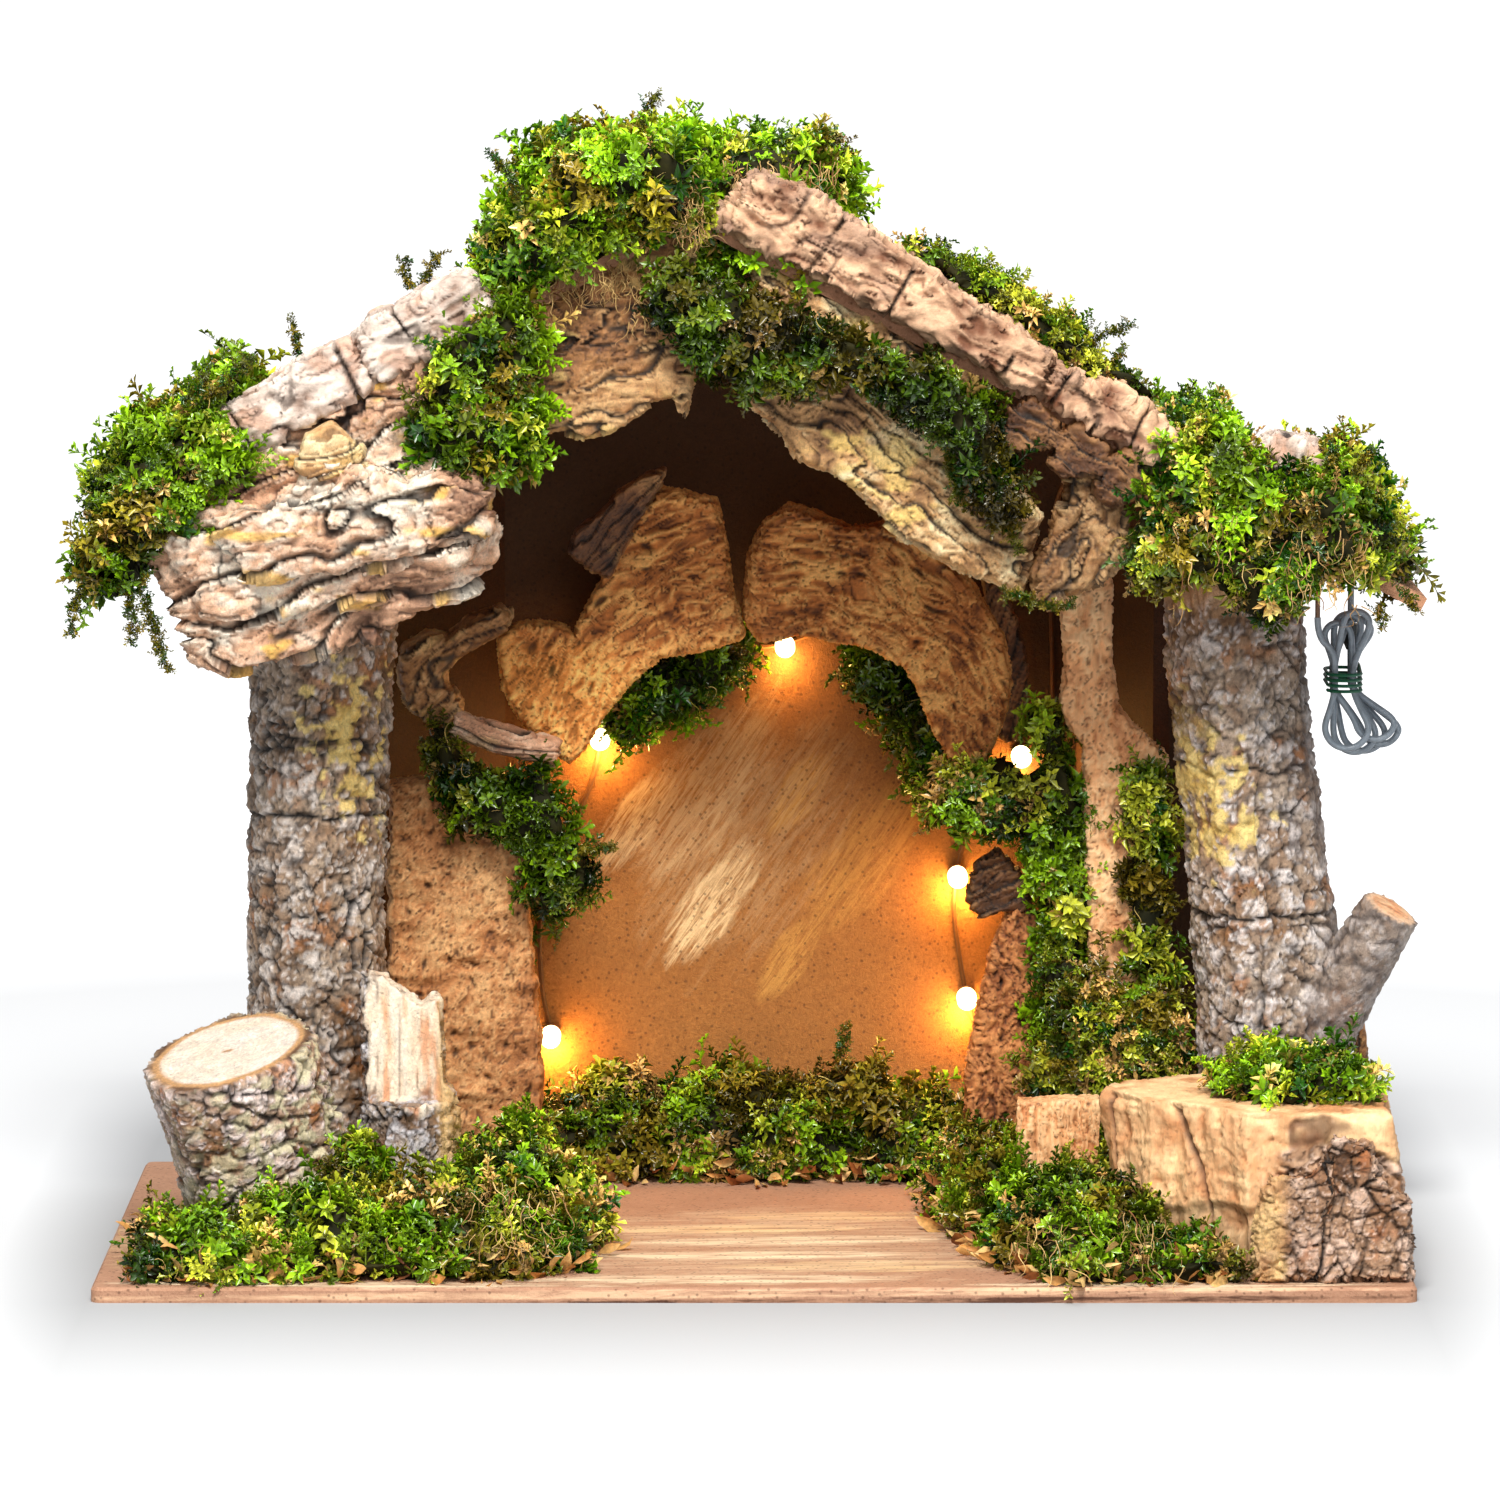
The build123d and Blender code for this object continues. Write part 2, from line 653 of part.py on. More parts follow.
# The space above the roof panels' underside, and the space below it
with BuildPart() as above_roof:
    with BuildSketch(Plane.XZ.offset(-(base_depth / 2 + overrun))):
        with BuildLine():
            Polyline(
                (ridge_x, ridge_z),
                (eave_right_x + overrun, roof_z(eave_right_x + overrun)),
                (eave_right_x + overrun, ridge_z + 2 * overrun),
                (eave_left_x - overrun, ridge_z + 2 * overrun),
                (eave_left_x - overrun, roof_z(eave_left_x - overrun)),
                close=True,
            )
        make_face()
    extrude(amount=base_depth + 2 * overrun)

with BuildPart() as below_roof:
    with BuildSketch(Plane.XZ.offset(-base_depth / 2)):
        with BuildLine():
            Polyline(
                (ridge_x, ridge_z),
                (eave_right_x, eave_right_z),
                (eave_right_x, floor),
                (eave_left_x, floor),
                (eave_left_x, eave_left_z),
                close=True,
            )
        make_face()
    extrude(amount=base_depth / 2 - roof_front)

# Back wall, cut to the gable
with BuildPart() as back_wall:
    with BuildSketch(Plane.XZ.offset(-back_face)):
        with BuildLine():
            Polyline(
                (wall_left_x, floor),
                (wall_right_x, floor),
                (wall_right_x, roof_z(wall_right_x)),
                (ridge_x, ridge_z),
                (wall_left_x, roof_z(wall_left_x)),
                close=True,
            )
        make_face()
    extrude(amount=-board)
keep(back_wall, "back_wall")

# Roof panels, mitred at the ridge
ridge_lap = board * math.tan((left_angle + right_angle) / 2)

with BuildPart() as roof_panel_left:
    with BuildSketch(Plane.XZ.offset(-base_depth / 2)):
        with BuildLine():
            Polyline(
                (ridge_x, ridge_z),
                (eave_left_x, eave_left_z),
                on_left(left_run / math.cos(left_angle), board),
                on_left(-ridge_lap, board),
                close=True,
            )
        make_face()
    extrude(amount=base_depth / 2 - roof_front)
keep(roof_panel_left, "roof_panel_left")

with BuildPart() as roof_panel_right:
    with BuildSketch(Plane.XZ.offset(-base_depth / 2)):
        with BuildLine():
            Polyline(
                (ridge_x, ridge_z),
                (eave_right_x, eave_right_z),
                on_right(right_run / math.cos(right_angle), board),
                on_right(-ridge_lap, board),
                close=True,
            )
        make_face()
    extrude(amount=base_depth / 2 - roof_front)
keep(roof_panel_right, "roof_panel_right")


def side_panel(front_x, rear_x, top):
    """A hardboard panel that runs back from beside a post to the back wall."""
    reach_x = rear_x - front_x
    reach_y = back_face - panel_start
    skew = board * math.hypot(reach_x, reach_y) / reach_y
    outward = math.copysign(skew, front_x)
    with BuildSketch(Plane.XY.offset(floor)) as plan:
        with BuildLine():
            Polyline(
                (front_x, panel_start),
                (rear_x, back_face),
                (rear_x + outward, back_face),
                (front_x + outward, panel_start),
                close=True,
            )
        make_face()
    extrude(plan.sketch, amount=top)


with BuildPart() as side_panel_left:
    side_panel(panel_left_x, panel_left_end_x, ridge_rise)
    cut_by(above_roof)
keep(side_panel_left, "side_panel_left")

with BuildPart() as side_panel_right:
    side_panel(panel_right_x, panel_right_end_x, panel_right_rise)
    cut_by(above_roof)
keep(side_panel_right, "side_panel_right")


# Posts: natural branches with their bark on, cut to the slope of the roof
with BuildPart() as post_left:
    post_section = rim(post_radius, trunk_lobes_shares)
    post_run = roof_z(post_left_x) + post_radius - floor
    log(
        post_section,
        [
            (Plane((post_left_x + sway * post_sway, post_y, floor + up * post_run)), thickness)
            for up, sway, thickness in post_left_level_shares
        ],
    )
    cut_by(above_roof)
keep(post_left, "post_left")

with BuildPart() as post_right:
    post_section = rim(post_radius, trunk_lobes_shares)
    post_run = roof_z(post_right_top_x) + post_radius - floor
    post_lean = post_right_top_x - post_right_x
    log(
        post_section,
        [
            (Plane((post_right_x + lean * post_lean, post_y, floor + up * post_run)), thickness)
            for up, lean, thickness in post_right_level_shares
        ],
    )
    stub_root = Vector(stub_root_x, post_y, floor + stub_root_rise)
    stub_tip = Vector(stub_tip_x, stub_tip_y, floor + stub_tip_rise)
    log(
        rim(stub_radius, stub_lobes_shares),
        levels(stub_root, stub_tip, stub_level_shares),
    )
    cut_by(above_roof)
keep(post_right, "post_right")

# Stump in front of the left post, leaning left and towards the front, with its top sawn square
with BuildPart() as stump:
    stump_root = Vector(stump_x, stump_y, floor)
    stump_top = Vector(stump_top_x, stump_top_y, floor + stump_top_rise)
    log(
        rim(stump_radius, trunk_lobes_shares),
        levels(stump_root, stump_top, stump_level_shares),
    )
    split(bisect_by=Plane.XY.offset(floor), keep=Keep.TOP)
keep(stump, "stump")

# Split log beside it: bark below, and above it a torn face with two spikes
split_reach = 2 * split_log_radius
split_top = floor + split_log_height + split_log_radius

with BuildPart() as split_log:
    with BuildSketch(Plane.XY.offset(floor)):
        with BuildLine():
            Polyline(
                *[
                    (split_log_x + x, split_log_y + y)
                    for x, y in rim(split_log_radius, trunk_lobes_shares)
                ],
                close=True,
            )
        make_face()
    extrude(amount=split_log_height)
    with BuildSketch(Plane.XZ.offset(overrun)):
        with BuildLine():
            Polyline(
                *place(
                    split_spike_shares,
                    split_log_x - split_reach,
                    floor + split_start_height,
                    2 * split_reach,
                    split_top - floor - split_start_height,
                ),
                close=True,
            )
        make_face()
    extrude(amount=-2 * overrun, mode=Mode.SUBTRACT)
    with BuildSketch(Plane.YZ.offset(split_log_x - split_reach)):
        with BuildLine():
            Polyline(
                (split_log_y - split_reach, floor + split_start_height),
                (split_face_y, floor + split_start_height),
                (split_face_y + split_face_slope, split_top),
                (split_log_y - split_reach, split_top),
                close=True,
            )
        make_face()
    extrude(amount=2 * split_reach, mode=Mode.SUBTRACT)
keep(split_log, "split_log")

# Bark sticks along the front edges of the roof, lying on the panels
verge_y = roof_front - verge_front

with BuildPart() as verge_bark_left_upper:
    chunk(
        laid(
            verge_upper_shares,
            on_left,
            verge_left_start,
            verge_left_upper_length,
            verge_left_upper_height,
        ),
        verge_y,
        verge_depth,
        plate_shares,
    )
keep(verge_bark_left_upper, "verge_bark_left_upper")

with BuildPart() as verge_bark_left_lower:
    chunk(
        laid(
            verge_lower_shares,
            on_left,
            verge_left_start + verge_left_upper_length + verge_crack,
            verge_left_lower_length,
            verge_left_lower_height,
        ),
        verge_y,
        verge_depth,
        plate_shares,
    )
keep(verge_bark_left_lower, "verge_bark_left_lower")

with BuildPart() as verge_bark_right_upper:
    chunk(
        laid(
            verge_right_shares,
            on_right,
            verge_right_start,
            verge_right_length,
            verge_right_height,
        ),
        verge_y,
        verge_depth,
        plate_shares,
    )
keep(verge_bark_right_upper, "verge_bark_right_upper")

with BuildPart() as verge_bark_right_lower:
    chunk(
        laid(
            verge_tail_shares,
            on_right,
            verge_right_start + verge_right_length + verge_crack,
            verge_right_lower_length,
            verge_right_lower_height,
        ),
        verge_y,
        verge_depth,
        plate_shares,
    )
keep(verge_bark_right_lower, "verge_bark_right_lower")

with BuildPart() as roof_knob:
    chunk(
        laid(knob_shares, on_right, knob_start, knob_length, knob_height),
        roof_front + knob_setback,
        knob_depth,
        plate_shares,
    )
keep(roof_knob, "roof_knob")

# Bark plates that close the gable under the front edges of the roof
with BuildPart() as gable_bark_top:
    chunk(
        place(gable_top_shares, gable_top_x, ridge_z - gable_top_drop, gable_top_width, gable_top_drop),
        roof_front,
        gable_thickness,
        plate_shares,
    )
    cut_by(above_roof)
keep(gable_bark_top, "gable_bark_top")

with BuildPart() as gable_bark_right:
    chunk(
        place(
            gable_right_shares,
            gable_right_x,
            ridge_z - gable_right_drop,
            gable_right_width,
            gable_right_drop,
        ),
        roof_front,
        gable_thickness,
        plate_shares,
    )
    cut_by(above_roof)
keep(gable_bark_right, "gable_bark_right")

with BuildPart() as gable_bark_far_right:
    chunk(
        place(
            gable_far_shares,
            gable_right_x + gable_right_width + verge_crack,
            ridge_z - gable_far_drop,
            gable_far_width,
            gable_far_drop,
        ),
        roof_front,
        gable_thickness,
        plate_shares,
    )
    cut_by(above_roof)
keep(gable_bark_far_right, "gable_bark_far_right")

with BuildPart() as gable_chips:
    for step in range(chip_count):
        chunk(
            place(
                chip_shares,
                chip_x + step * chip_step_x,
                roof_z(chip_x + step * chip_step_x) - chip_drop,
                chip_width,
                chip_height,
            ),
            roof_front - chip_thickness,
            chip_thickness,
            plate_shares,
        )
keep(gable_chips, "gable_chips")

# Layered bark under the left eave, hung on the front edge of the panel
eave_layer = eave_bark_thickness / len(eave_layers_shares)

with BuildPart() as eave_bark_left:
    for layer, (cut_left, cut_low, cut_wide, cut_high) in enumerate(eave_layers_shares):
        chunk(
            place(
                eave_bark_shares,
                eave_bark_x + cut_left * eave_bark_width,
                ridge_z - eave_bark_drop + cut_low * eave_bark_height,
                cut_wide * eave_bark_width,
                cut_high * eave_bark_height,
            ),
            roof_front - (layer + 1) * eave_layer,
            eave_layer,
            plate_shares,
        )
    hanger_foot_z = ridge_z - eave_bark_drop + eave_hanger_low
    with BuildSketch(Plane.XZ.offset(-(roof_front - eave_layer))):
        with BuildLine():
            Polyline(
                on_left(eave_hanger_start, board),
                on_left(eave_hanger_start + eave_hanger_length, board),
                (eave_bark_x + eave_hanger_in, hanger_foot_z),
                (eave_bark_x + eave_bark_width - eave_hanger_in, hanger_foot_z),
                close=True,
            )
        make_face()
    extrude(amount=-eave_layer)
keep(eave_bark_left, "eave_bark_left")

with BuildPart() as eave_chip_left:
    chunk(
        place(chip_shares, eave_chip_x, ridge_z - eave_chip_drop, eave_chip_width, eave_chip_height),
        roof_front - eave_layer - eave_chip_thickness,
        eave_chip_thickness,
        plate_shares,
    )
    cut_by(eave_bark_left, verge_bark_left_lower, verge_bark_left_upper)
keep(eave_chip_left, "eave_chip_left")

# Inner arch of two thick cork pieces, and the torn bark round its foot
with BuildPart() as arch_left:
    chunk(
        place(arch_left_shares, arch_left_x, floor + arch_left_rise, arch_left_width, arch_left_height),
        arch_front,
        arch_thickness,
        cork_shares,
    )
keep(arch_left, "arch_left")

with BuildPart() as arch_right:
    chunk(
        place(
            arch_right_shares,
            arch_left_x + arch_left_width + arch_gap,
            floor + arch_right_rise,
            arch_right_width,
            arch_right_height,
        ),
        arch_front,
        arch_thickness,
        cork_shares,
    )
keep(arch_right, "arch_right")

with BuildPart() as arch_peel:
    chunk(
        place(peel_shares, peel_x, floor + peel_rise, peel_width, peel_height),
        arch_front + arch_thickness,
        peel_thickness,
        plate_shares,
    )
keep(arch_peel, "arch_peel")

with BuildPart() as arch_curl:
    chunk(
        place(curl_shares, curl_x, floor + curl_rise, curl_width, curl_height),
        arch_front - curl_thickness,
        curl_thickness + curl_seat,
        plate_shares,
    )
    cut_by(arch_left)
keep(arch_curl, "arch_curl")

with BuildPart() as side_bark_left:
    chunk(
        place(side_bark_shares, side_bark_x, floor, side_bark_width, side_bark_height),
        side_bark_front,
        side_bark_thickness,
        cork_shares,
    )
    cut_by(post_left)
keep(side_bark_left, "side_bark_left")

with BuildPart() as knot_bark:
    chunk(
        place(knot_shares, knot_x, floor + knot_rise, knot_width, knot_height),
        knot_front,
        knot_thickness,
        plate_shares,
    )
    cut_by(arch_left, side_panel_left, post_left, side_bark_left)
keep(knot_bark, "knot_bark")

with BuildPart() as roll_bark:
    roll_root = Vector(roll_x, arch_front - roll_radius - roll_seat, floor + roll_rise)
    roll_tip = Vector(roll_end_x, arch_front - roll_radius - roll_seat, floor + roll_end_rise)
    log(
        rim(roll_radius, stub_lobes_shares),
        levels(roll_root, roll_tip, roll_level_shares),
    )
    cut_by(arch_left, knot_bark, side_bark_left)
keep(roll_bark, "roll_bark")

with BuildPart() as branch_bark:
    chunk(
        place(branch_shares, branch_x, floor, branch_width, roof_z(branch_x) - floor),
        branch_front,
        branch_thickness,
        cork_shares,
    )
    cut_by(post_right, above_roof)
keep(branch_bark, "branch_bark")

with BuildPart() as inner_cork_right:
    chunk(
        place(inner_cork_shares, inner_cork_x, floor, inner_cork_width, inner_cork_height),
        arch_front,
        inner_cork_thickness,
        cork_shares,
    )
keep(inner_cork_right, "inner_cork_right")

with BuildPart() as inner_chip_right:
    chunk(
        place(
            chip_shares,
            inner_cork_x,
            floor + inner_cork_height - inner_chip_lap,
            inner_chip_width,
            inner_chip_height,
        ),
        arch_front,
        inner_chip_thickness,
        plate_shares,
    )
    cut_by(inner_cork_right)
keep(inner_chip_right, "inner_chip_right")

# Cork on the base at the right: a thick block with loose grey flakes, and a ribbed piece
with BuildPart() as cork_block:
    cushion(
        place(block_plan_shares, block_x, block_front, block_width, block_depth),
        floor,
        block_height,
        block_rise_shares,
    )
    with BuildSketch(Plane.XZ.offset(-(block_front - block_margin))):
        block_right = block_x + block_width
        with BuildLine():
            Polyline(
                (block_right, floor),
                (block_right + block_lean, floor),
                (block_right + block_lean, floor + block_height),
                (block_right - block_lean, floor + block_height),
                close=True,
            )
        make_face()
    extrude(amount=-(block_depth + 2 * block_margin), mode=Mode.SUBTRACT)
keep(cork_block, "cork_block")

with BuildPart() as block_flakes:
    chunk(
        place(flake_shares, flake_x, floor, flake_width, flake_height),
        block_front - flake_thickness,
        2 * flake_thickness + block_margin,
        plate_shares,
    )
    cut_by(cork_block)
keep(block_flakes, "block_flakes")

with BuildPart() as ribbed_cork:
    with BuildSketch(Plane.XY.offset(floor)):
        rib_pitch = ribbed_width / rib_count
        with BuildLine():
            Polyline(
                (ribbed_x, ribbed_front + ribbed_depth),
                *[
                    (ribbed_x + (k / 2) * rib_pitch, ribbed_front + (rib_depth if k % 2 else 0))
                    for k in range(2 * rib_count + 1)
                ],
                (ribbed_x + ribbed_width, ribbed_front + ribbed_depth),
                close=True,
            )
        make_face()
    extrude(amount=ribbed_height)
keep(ribbed_cork, "ribbed_cork")

with BuildPart() as rear_strip_right:
    chunk(
        place(strip_shares, rear_strip_x, floor, rear_strip_width, rear_strip_height),
        rear_strip_front,
        rear_strip_depth,
        plate_shares,
    )
keep(rear_strip_right, "rear_strip_right")


# Moss on the roof, cut by the panels and the bark that it is glued to
def roof_moss(shares, left, bottom, width, height, depth):
    """A tuft that hangs over the front of the roof and runs back along its top."""
    chunk(place(shares, left, bottom, width, height), moss_front, depth, tuft_shares)
    cut_by(below_roof, roof_panel_left, roof_panel_right)


with BuildPart() as moss_ridge:
    roof_moss(
        ridge_moss_shares,
        ridge_moss_x,
        ridge_z - ridge_moss_sink,
        ridge_moss_width,
        ridge_moss_height,
        ridge_moss_depth,
    )
    cut_by(verge_bark_left_upper, verge_bark_right_upper)
keep(moss_ridge, "moss_ridge")

# Thin moss behind the bark stick on the right slope, standing a little above it
with BuildPart() as moss_verge_right:
    chunk(
        laid(
            verge_moss_shares,
            on_right,
            verge_moss_start,
            verge_moss_length,
            verge_moss_height,
        ),
        verge_y + verge_depth - verge_moss_overlap,
        verge_moss_depth,
        tuft_shares,
    )
    cut_by(roof_panel_right, verge_bark_right_upper, verge_bark_right_lower, moss_ridge)
keep(moss_verge_right, "moss_verge_right")

with BuildPart() as moss_eave_left:
    roof_moss(
        eave_moss_left_shares,
        eave_moss_left_x,
        eave_left_z - eave_moss_left_drop,
        eave_moss_left_width,
        eave_moss_left_height,
        eave_moss_depth,
    )
    cut_by(verge_bark_left_lower, eave_bark_left)
keep(moss_eave_left, "moss_eave_left")

with BuildPart() as moss_eave_right:
    roof_moss(
        eave_moss_right_shares,
        eave_moss_right_x,
        eave_right_z - eave_moss_right_drop,
        eave_moss_right_width,
        eave_moss_right_height,
        eave_moss_depth,
    )
    cut_by(verge_bark_right_lower, gable_bark_far_right, gable_chips, roof_knob, moss_verge_right)
keep(moss_eave_right, "moss_eave_right")

with BuildPart() as moss_gable_left:
    chunk(
        place(
            gable_moss_left_shares,
            gable_moss_left_x,
            ridge_z - gable_moss_left_drop,
            gable_moss_left_width,
            gable_moss_left_height,
        ),
        moss_front,
        roof_front - moss_front,
        pad_shares,
    )
    cut_by(moss_ridge, verge_bark_left_upper, verge_bark_left_lower, eave_bark_left, eave_chip_left)
keep(moss_gable_left, "moss_gable_left")

with BuildPart() as moss_gable_right:
    chunk(
        place(
            gable_moss_right_shares,
            gable_moss_right_x,
            ridge_z - gable_moss_right_drop,
            gable_moss_right_width,
            gable_moss_right_height,
        ),
        moss_front,
        roof_front - moss_front,
        pad_shares,
    )
    cut_by(moss_ridge, verge_bark_right_upper, verge_bark_right_lower, gable_chips)
keep(moss_gable_right, "moss_gable_right")

# Moss inside, on the bark at each side of the room
with BuildPart() as moss_inner_left:
    chunk(
        place(
            inner_moss_left_shares,
            inner_moss_left_x,
            floor + inner_moss_left_rise,
            inner_moss_left_width,
            inner_moss_left_height,
        ),
        inner_moss_front,
        side_bark_front - inner_moss_front,
        pad_shares,
    )
    cut_by(roll_bark, knot_bark)
keep(moss_inner_left, "moss_inner_left")

with BuildPart() as moss_inner_right:
    for shares, left, rise, width, height, front, back in (
        (
            inner_moss_right_shares,
            inner_moss_right_x,
            inner_moss_right_rise,
            inner_moss_right_width,
            inner_moss_right_height,
            branch_front,
            arch_front,
        ),
        (
            foot_moss_shares,
            foot_moss_x,
            foot_moss_rise,
            foot_moss_width,
            foot_moss_height,
            branch_front,
            arch_front + arch_thickness,
        ),
        (
            post_moss_shares,
            post_moss_x,
            post_moss_rise,
            post_moss_width,
            post_moss_height,
            branch_front - post_moss_depth,
            branch_front,
        ),
    ):
        chunk(place(shares, left, floor + rise, width, height), front, back - front, pad_shares)
    cut_by(branch_bark, inner_cork_right, inner_chip_right, arch_right, post_right)
keep(moss_inner_right, "moss_inner_right")

# String of lights: one wire along the back wall, with a moulded socket for each bulb
wire_y = back_face - wire_diameter / 2 - wire_seat
light_spots = {
    1: (light_1_x, floor + light_1_rise),
    2: (light_2_x, floor + light_2_rise),
    3: (light_3_x, floor + light_3_rise),
    4: (light_4_x, floor + light_4_rise),
    5: (light_5_x, floor + light_5_rise),
    6: (light_6_x, floor + light_6_rise),
}
wire_route = [
    (155.0, hank_front, 170.0),
    (155.0, hank_front, 177.5),
    (156.0, post_y + 2.0, 183.5),
    (148.0, arch_front, 186.5),
    (104.0, arch_front + 12.0, 206.0),
    (88.0, arch_front + 36.0, 204.0),
    (84.0, wire_y, 186.0),
    (85.5, wire_y, 134.0),
    (83.5, wire_y, 84.0),
    (82.0, wire_y, 58.0),
    (76.0, wire_y, 43.0),
    (66.5, wire_y, 40.0),
    (62.0, wire_y, 46.5),
    (59.2, wire_y, 61.5),
    (56.5, wire_y, 80.0),
    (60.0, wire_y, 99.8),
    (73.9, wire_y, 117.0),
    (77.4, wire_y, 127.0),
    (76.0, wire_y, 146.0),
    (58.0, wire_y, 166.0),
    (36.0, wire_y, 168.0),
    (16.0, wire_y, 156.5),
    (0.6, wire_y, 152.2),
    (-14.0, wire_y, 160.0),
    (-34.0, wire_y, 160.0),
    (-43.1, wire_y, 136.0),
    (-44.3, wire_y, 120.0),
    (-52.0, wire_y, 100.0),
    (-62.0, wire_y, 76.0),
    (-60.5, wire_y, 52.0),
    (-57.3, wire_y, 39.8),
]


def corner_radii(route):
    """The largest easy arc at each corner of a route."""
    radii = []
    for before, here, after in zip(route, route[1:], route[2:]):
        way_in = Vector(*here) - Vector(*before)
        way_out = Vector(*after) - Vector(*here)
        turn = math.radians(way_in.get_angle(way_out))
        radii.append(0.45 * min(way_in.length, way_out.length) / math.tan(turn / 2))
    return radii


def tube(path, diameter, sides):
    """A faceted round section swept along a path of runs and arcs."""
    with BuildSketch(Plane(path @ 0, z_dir=path % 0)) as section:
        RegularPolygon(diameter / 2, sides)
    sweep(section.sketch, path=path)


with BuildPart() as light_string:
    with BuildLine() as wire_path:
        FilletPolyline(*wire_route, radius=corner_radii(wire_route))
    tube(wire_path.wire(), wire_diameter, wire_sides)
    with BuildSketch(Plane.XZ.offset(-back_face)):
        with Locations(*[spot for spot in light_spots.values()]):
            RegularPolygon(socket_diameter / 2, socket_sides)
    extrude(amount=socket_length)
keep(light_string, "light_string")

for number, (x, z) in light_spots.items():
    with BuildPart() as bulb:
        socket_end = back_face - socket_length
        with BuildSketch(Plane(origin=(x, socket_end, z), x_dir=(1, 0, 0), z_dir=(0, 0, 1))):
            with BuildLine():
                Polyline(
                    (0, 0),
                    (bulb_diameter / 2, 0),
                    (bulb_diameter / 2, -(bulb_length - bulb_tip)),
                    (bulb_tip_diameter / 2, -bulb_length),
                    (0, -bulb_length),
                    close=True,
                )
            make_face()
        revolve(axis=Axis((x, socket_end, z), (0, 1, 0)))
    keep(bulb, f"light_bulb_{number}")

with BuildPart() as moss_behind_arch:
    for shares, left, rise, width, height in (
        (pad_left_shares, pad_left_x, pad_left_rise, pad_left_width, pad_left_height),
        (pad_right_shares, pad_right_x, pad_right_rise, pad_right_width, pad_right_height),
    ):
        chunk(
            place(shares, left, floor + rise, width, height),
            arch_front + arch_thickness,
            back_face - arch_front - arch_thickness,
            pad_shares,
        )
    cut_by(light_string, arch_peel)
keep(moss_behind_arch, "moss_behind_arch")

# Moss on the base
with BuildPart() as moss_back:
    cushion(
        place(
            back_moss_shares,
            back_moss_x,
            back_face - back_moss_depth,
            back_moss_width,
            back_moss_depth,
        ),
        floor,
        back_moss_height,
        mound_shares,
    )
    cut_by(side_panel_left, side_panel_right, side_bark_left, inner_cork_right)
keep(moss_back, "moss_back")

with BuildPart() as moss_base_left:
    cushion(
        place(
            base_moss_left_shares,
            base_moss_left_x,
            base_moss_front,
            base_moss_left_width,
            base_moss_left_depth,
        ),
        floor,
        base_moss_left_height,
        mound_shares,
    )
    cut_by(stump, split_log, post_left, side_bark_left)
keep(moss_base_left, "moss_base_left")

with BuildPart() as moss_base_right:
    cushion(
        place(
            base_moss_right_shares,
            base_moss_right_x,
            base_moss_front,
            base_moss_right_width,
            base_moss_right_depth,
        ),
        floor,
        base_moss_right_height,
        mound_shares,
    )
    cut_by(
        cork_block,
        block_flakes,
        ribbed_cork,
        branch_bark,
        post_right,
        inner_cork_right,
        side_panel_right,
        moss_back,
    )
keep(moss_base_right, "moss_base_right")

with BuildPart() as moss_block:
    cushion(
        place(
            block_moss_shares,
            block_moss_x,
            block_moss_front,
            block_moss_width,
            block_moss_depth,
        ),
        floor + block_height,
        block_moss_height,
        mound_shares,
    )
keep(moss_block, "moss_block")

# Lead: from the end of the string down to the hank
hank_start = (hank_x - hank_waist, hank_front, hank_z + lead_diameter)
connector_y = hank_back - hank_step + connector_radius + lead_diameter / 2 + tie_gap
lead_route = [
    (155.0, hank_front, 170.0),
    (155.0, hank_front, 164.5),
    (hank_x - hank_waist, hank_front, 160.5),
    hank_start,
]

with BuildPart() as lead_cord:
    with BuildLine() as lead_path:
        FilletPolyline(*lead_route, radius=corner_radii(lead_route))
    tube(lead_path.wire(), lead_diameter, wire_sides)
keep(lead_cord, "lead_cord")
print("lead radii", [round(radius, 1) for radius in corner_radii(lead_route)])
print("string radii", [round(radius, 1) for radius in corner_radii(wire_route)])
print("lead length", round(lead_path.wire().length, 1))


def ease(start, end, way):
    """Two arcs that shift a run sideways and leave it going the way it came."""
    middle = (Vector(*start) + Vector(*end)) / 2
    first = TangentArc(start, middle, tangent=way)
    TangentArc(middle, end, tangent=first % 1)


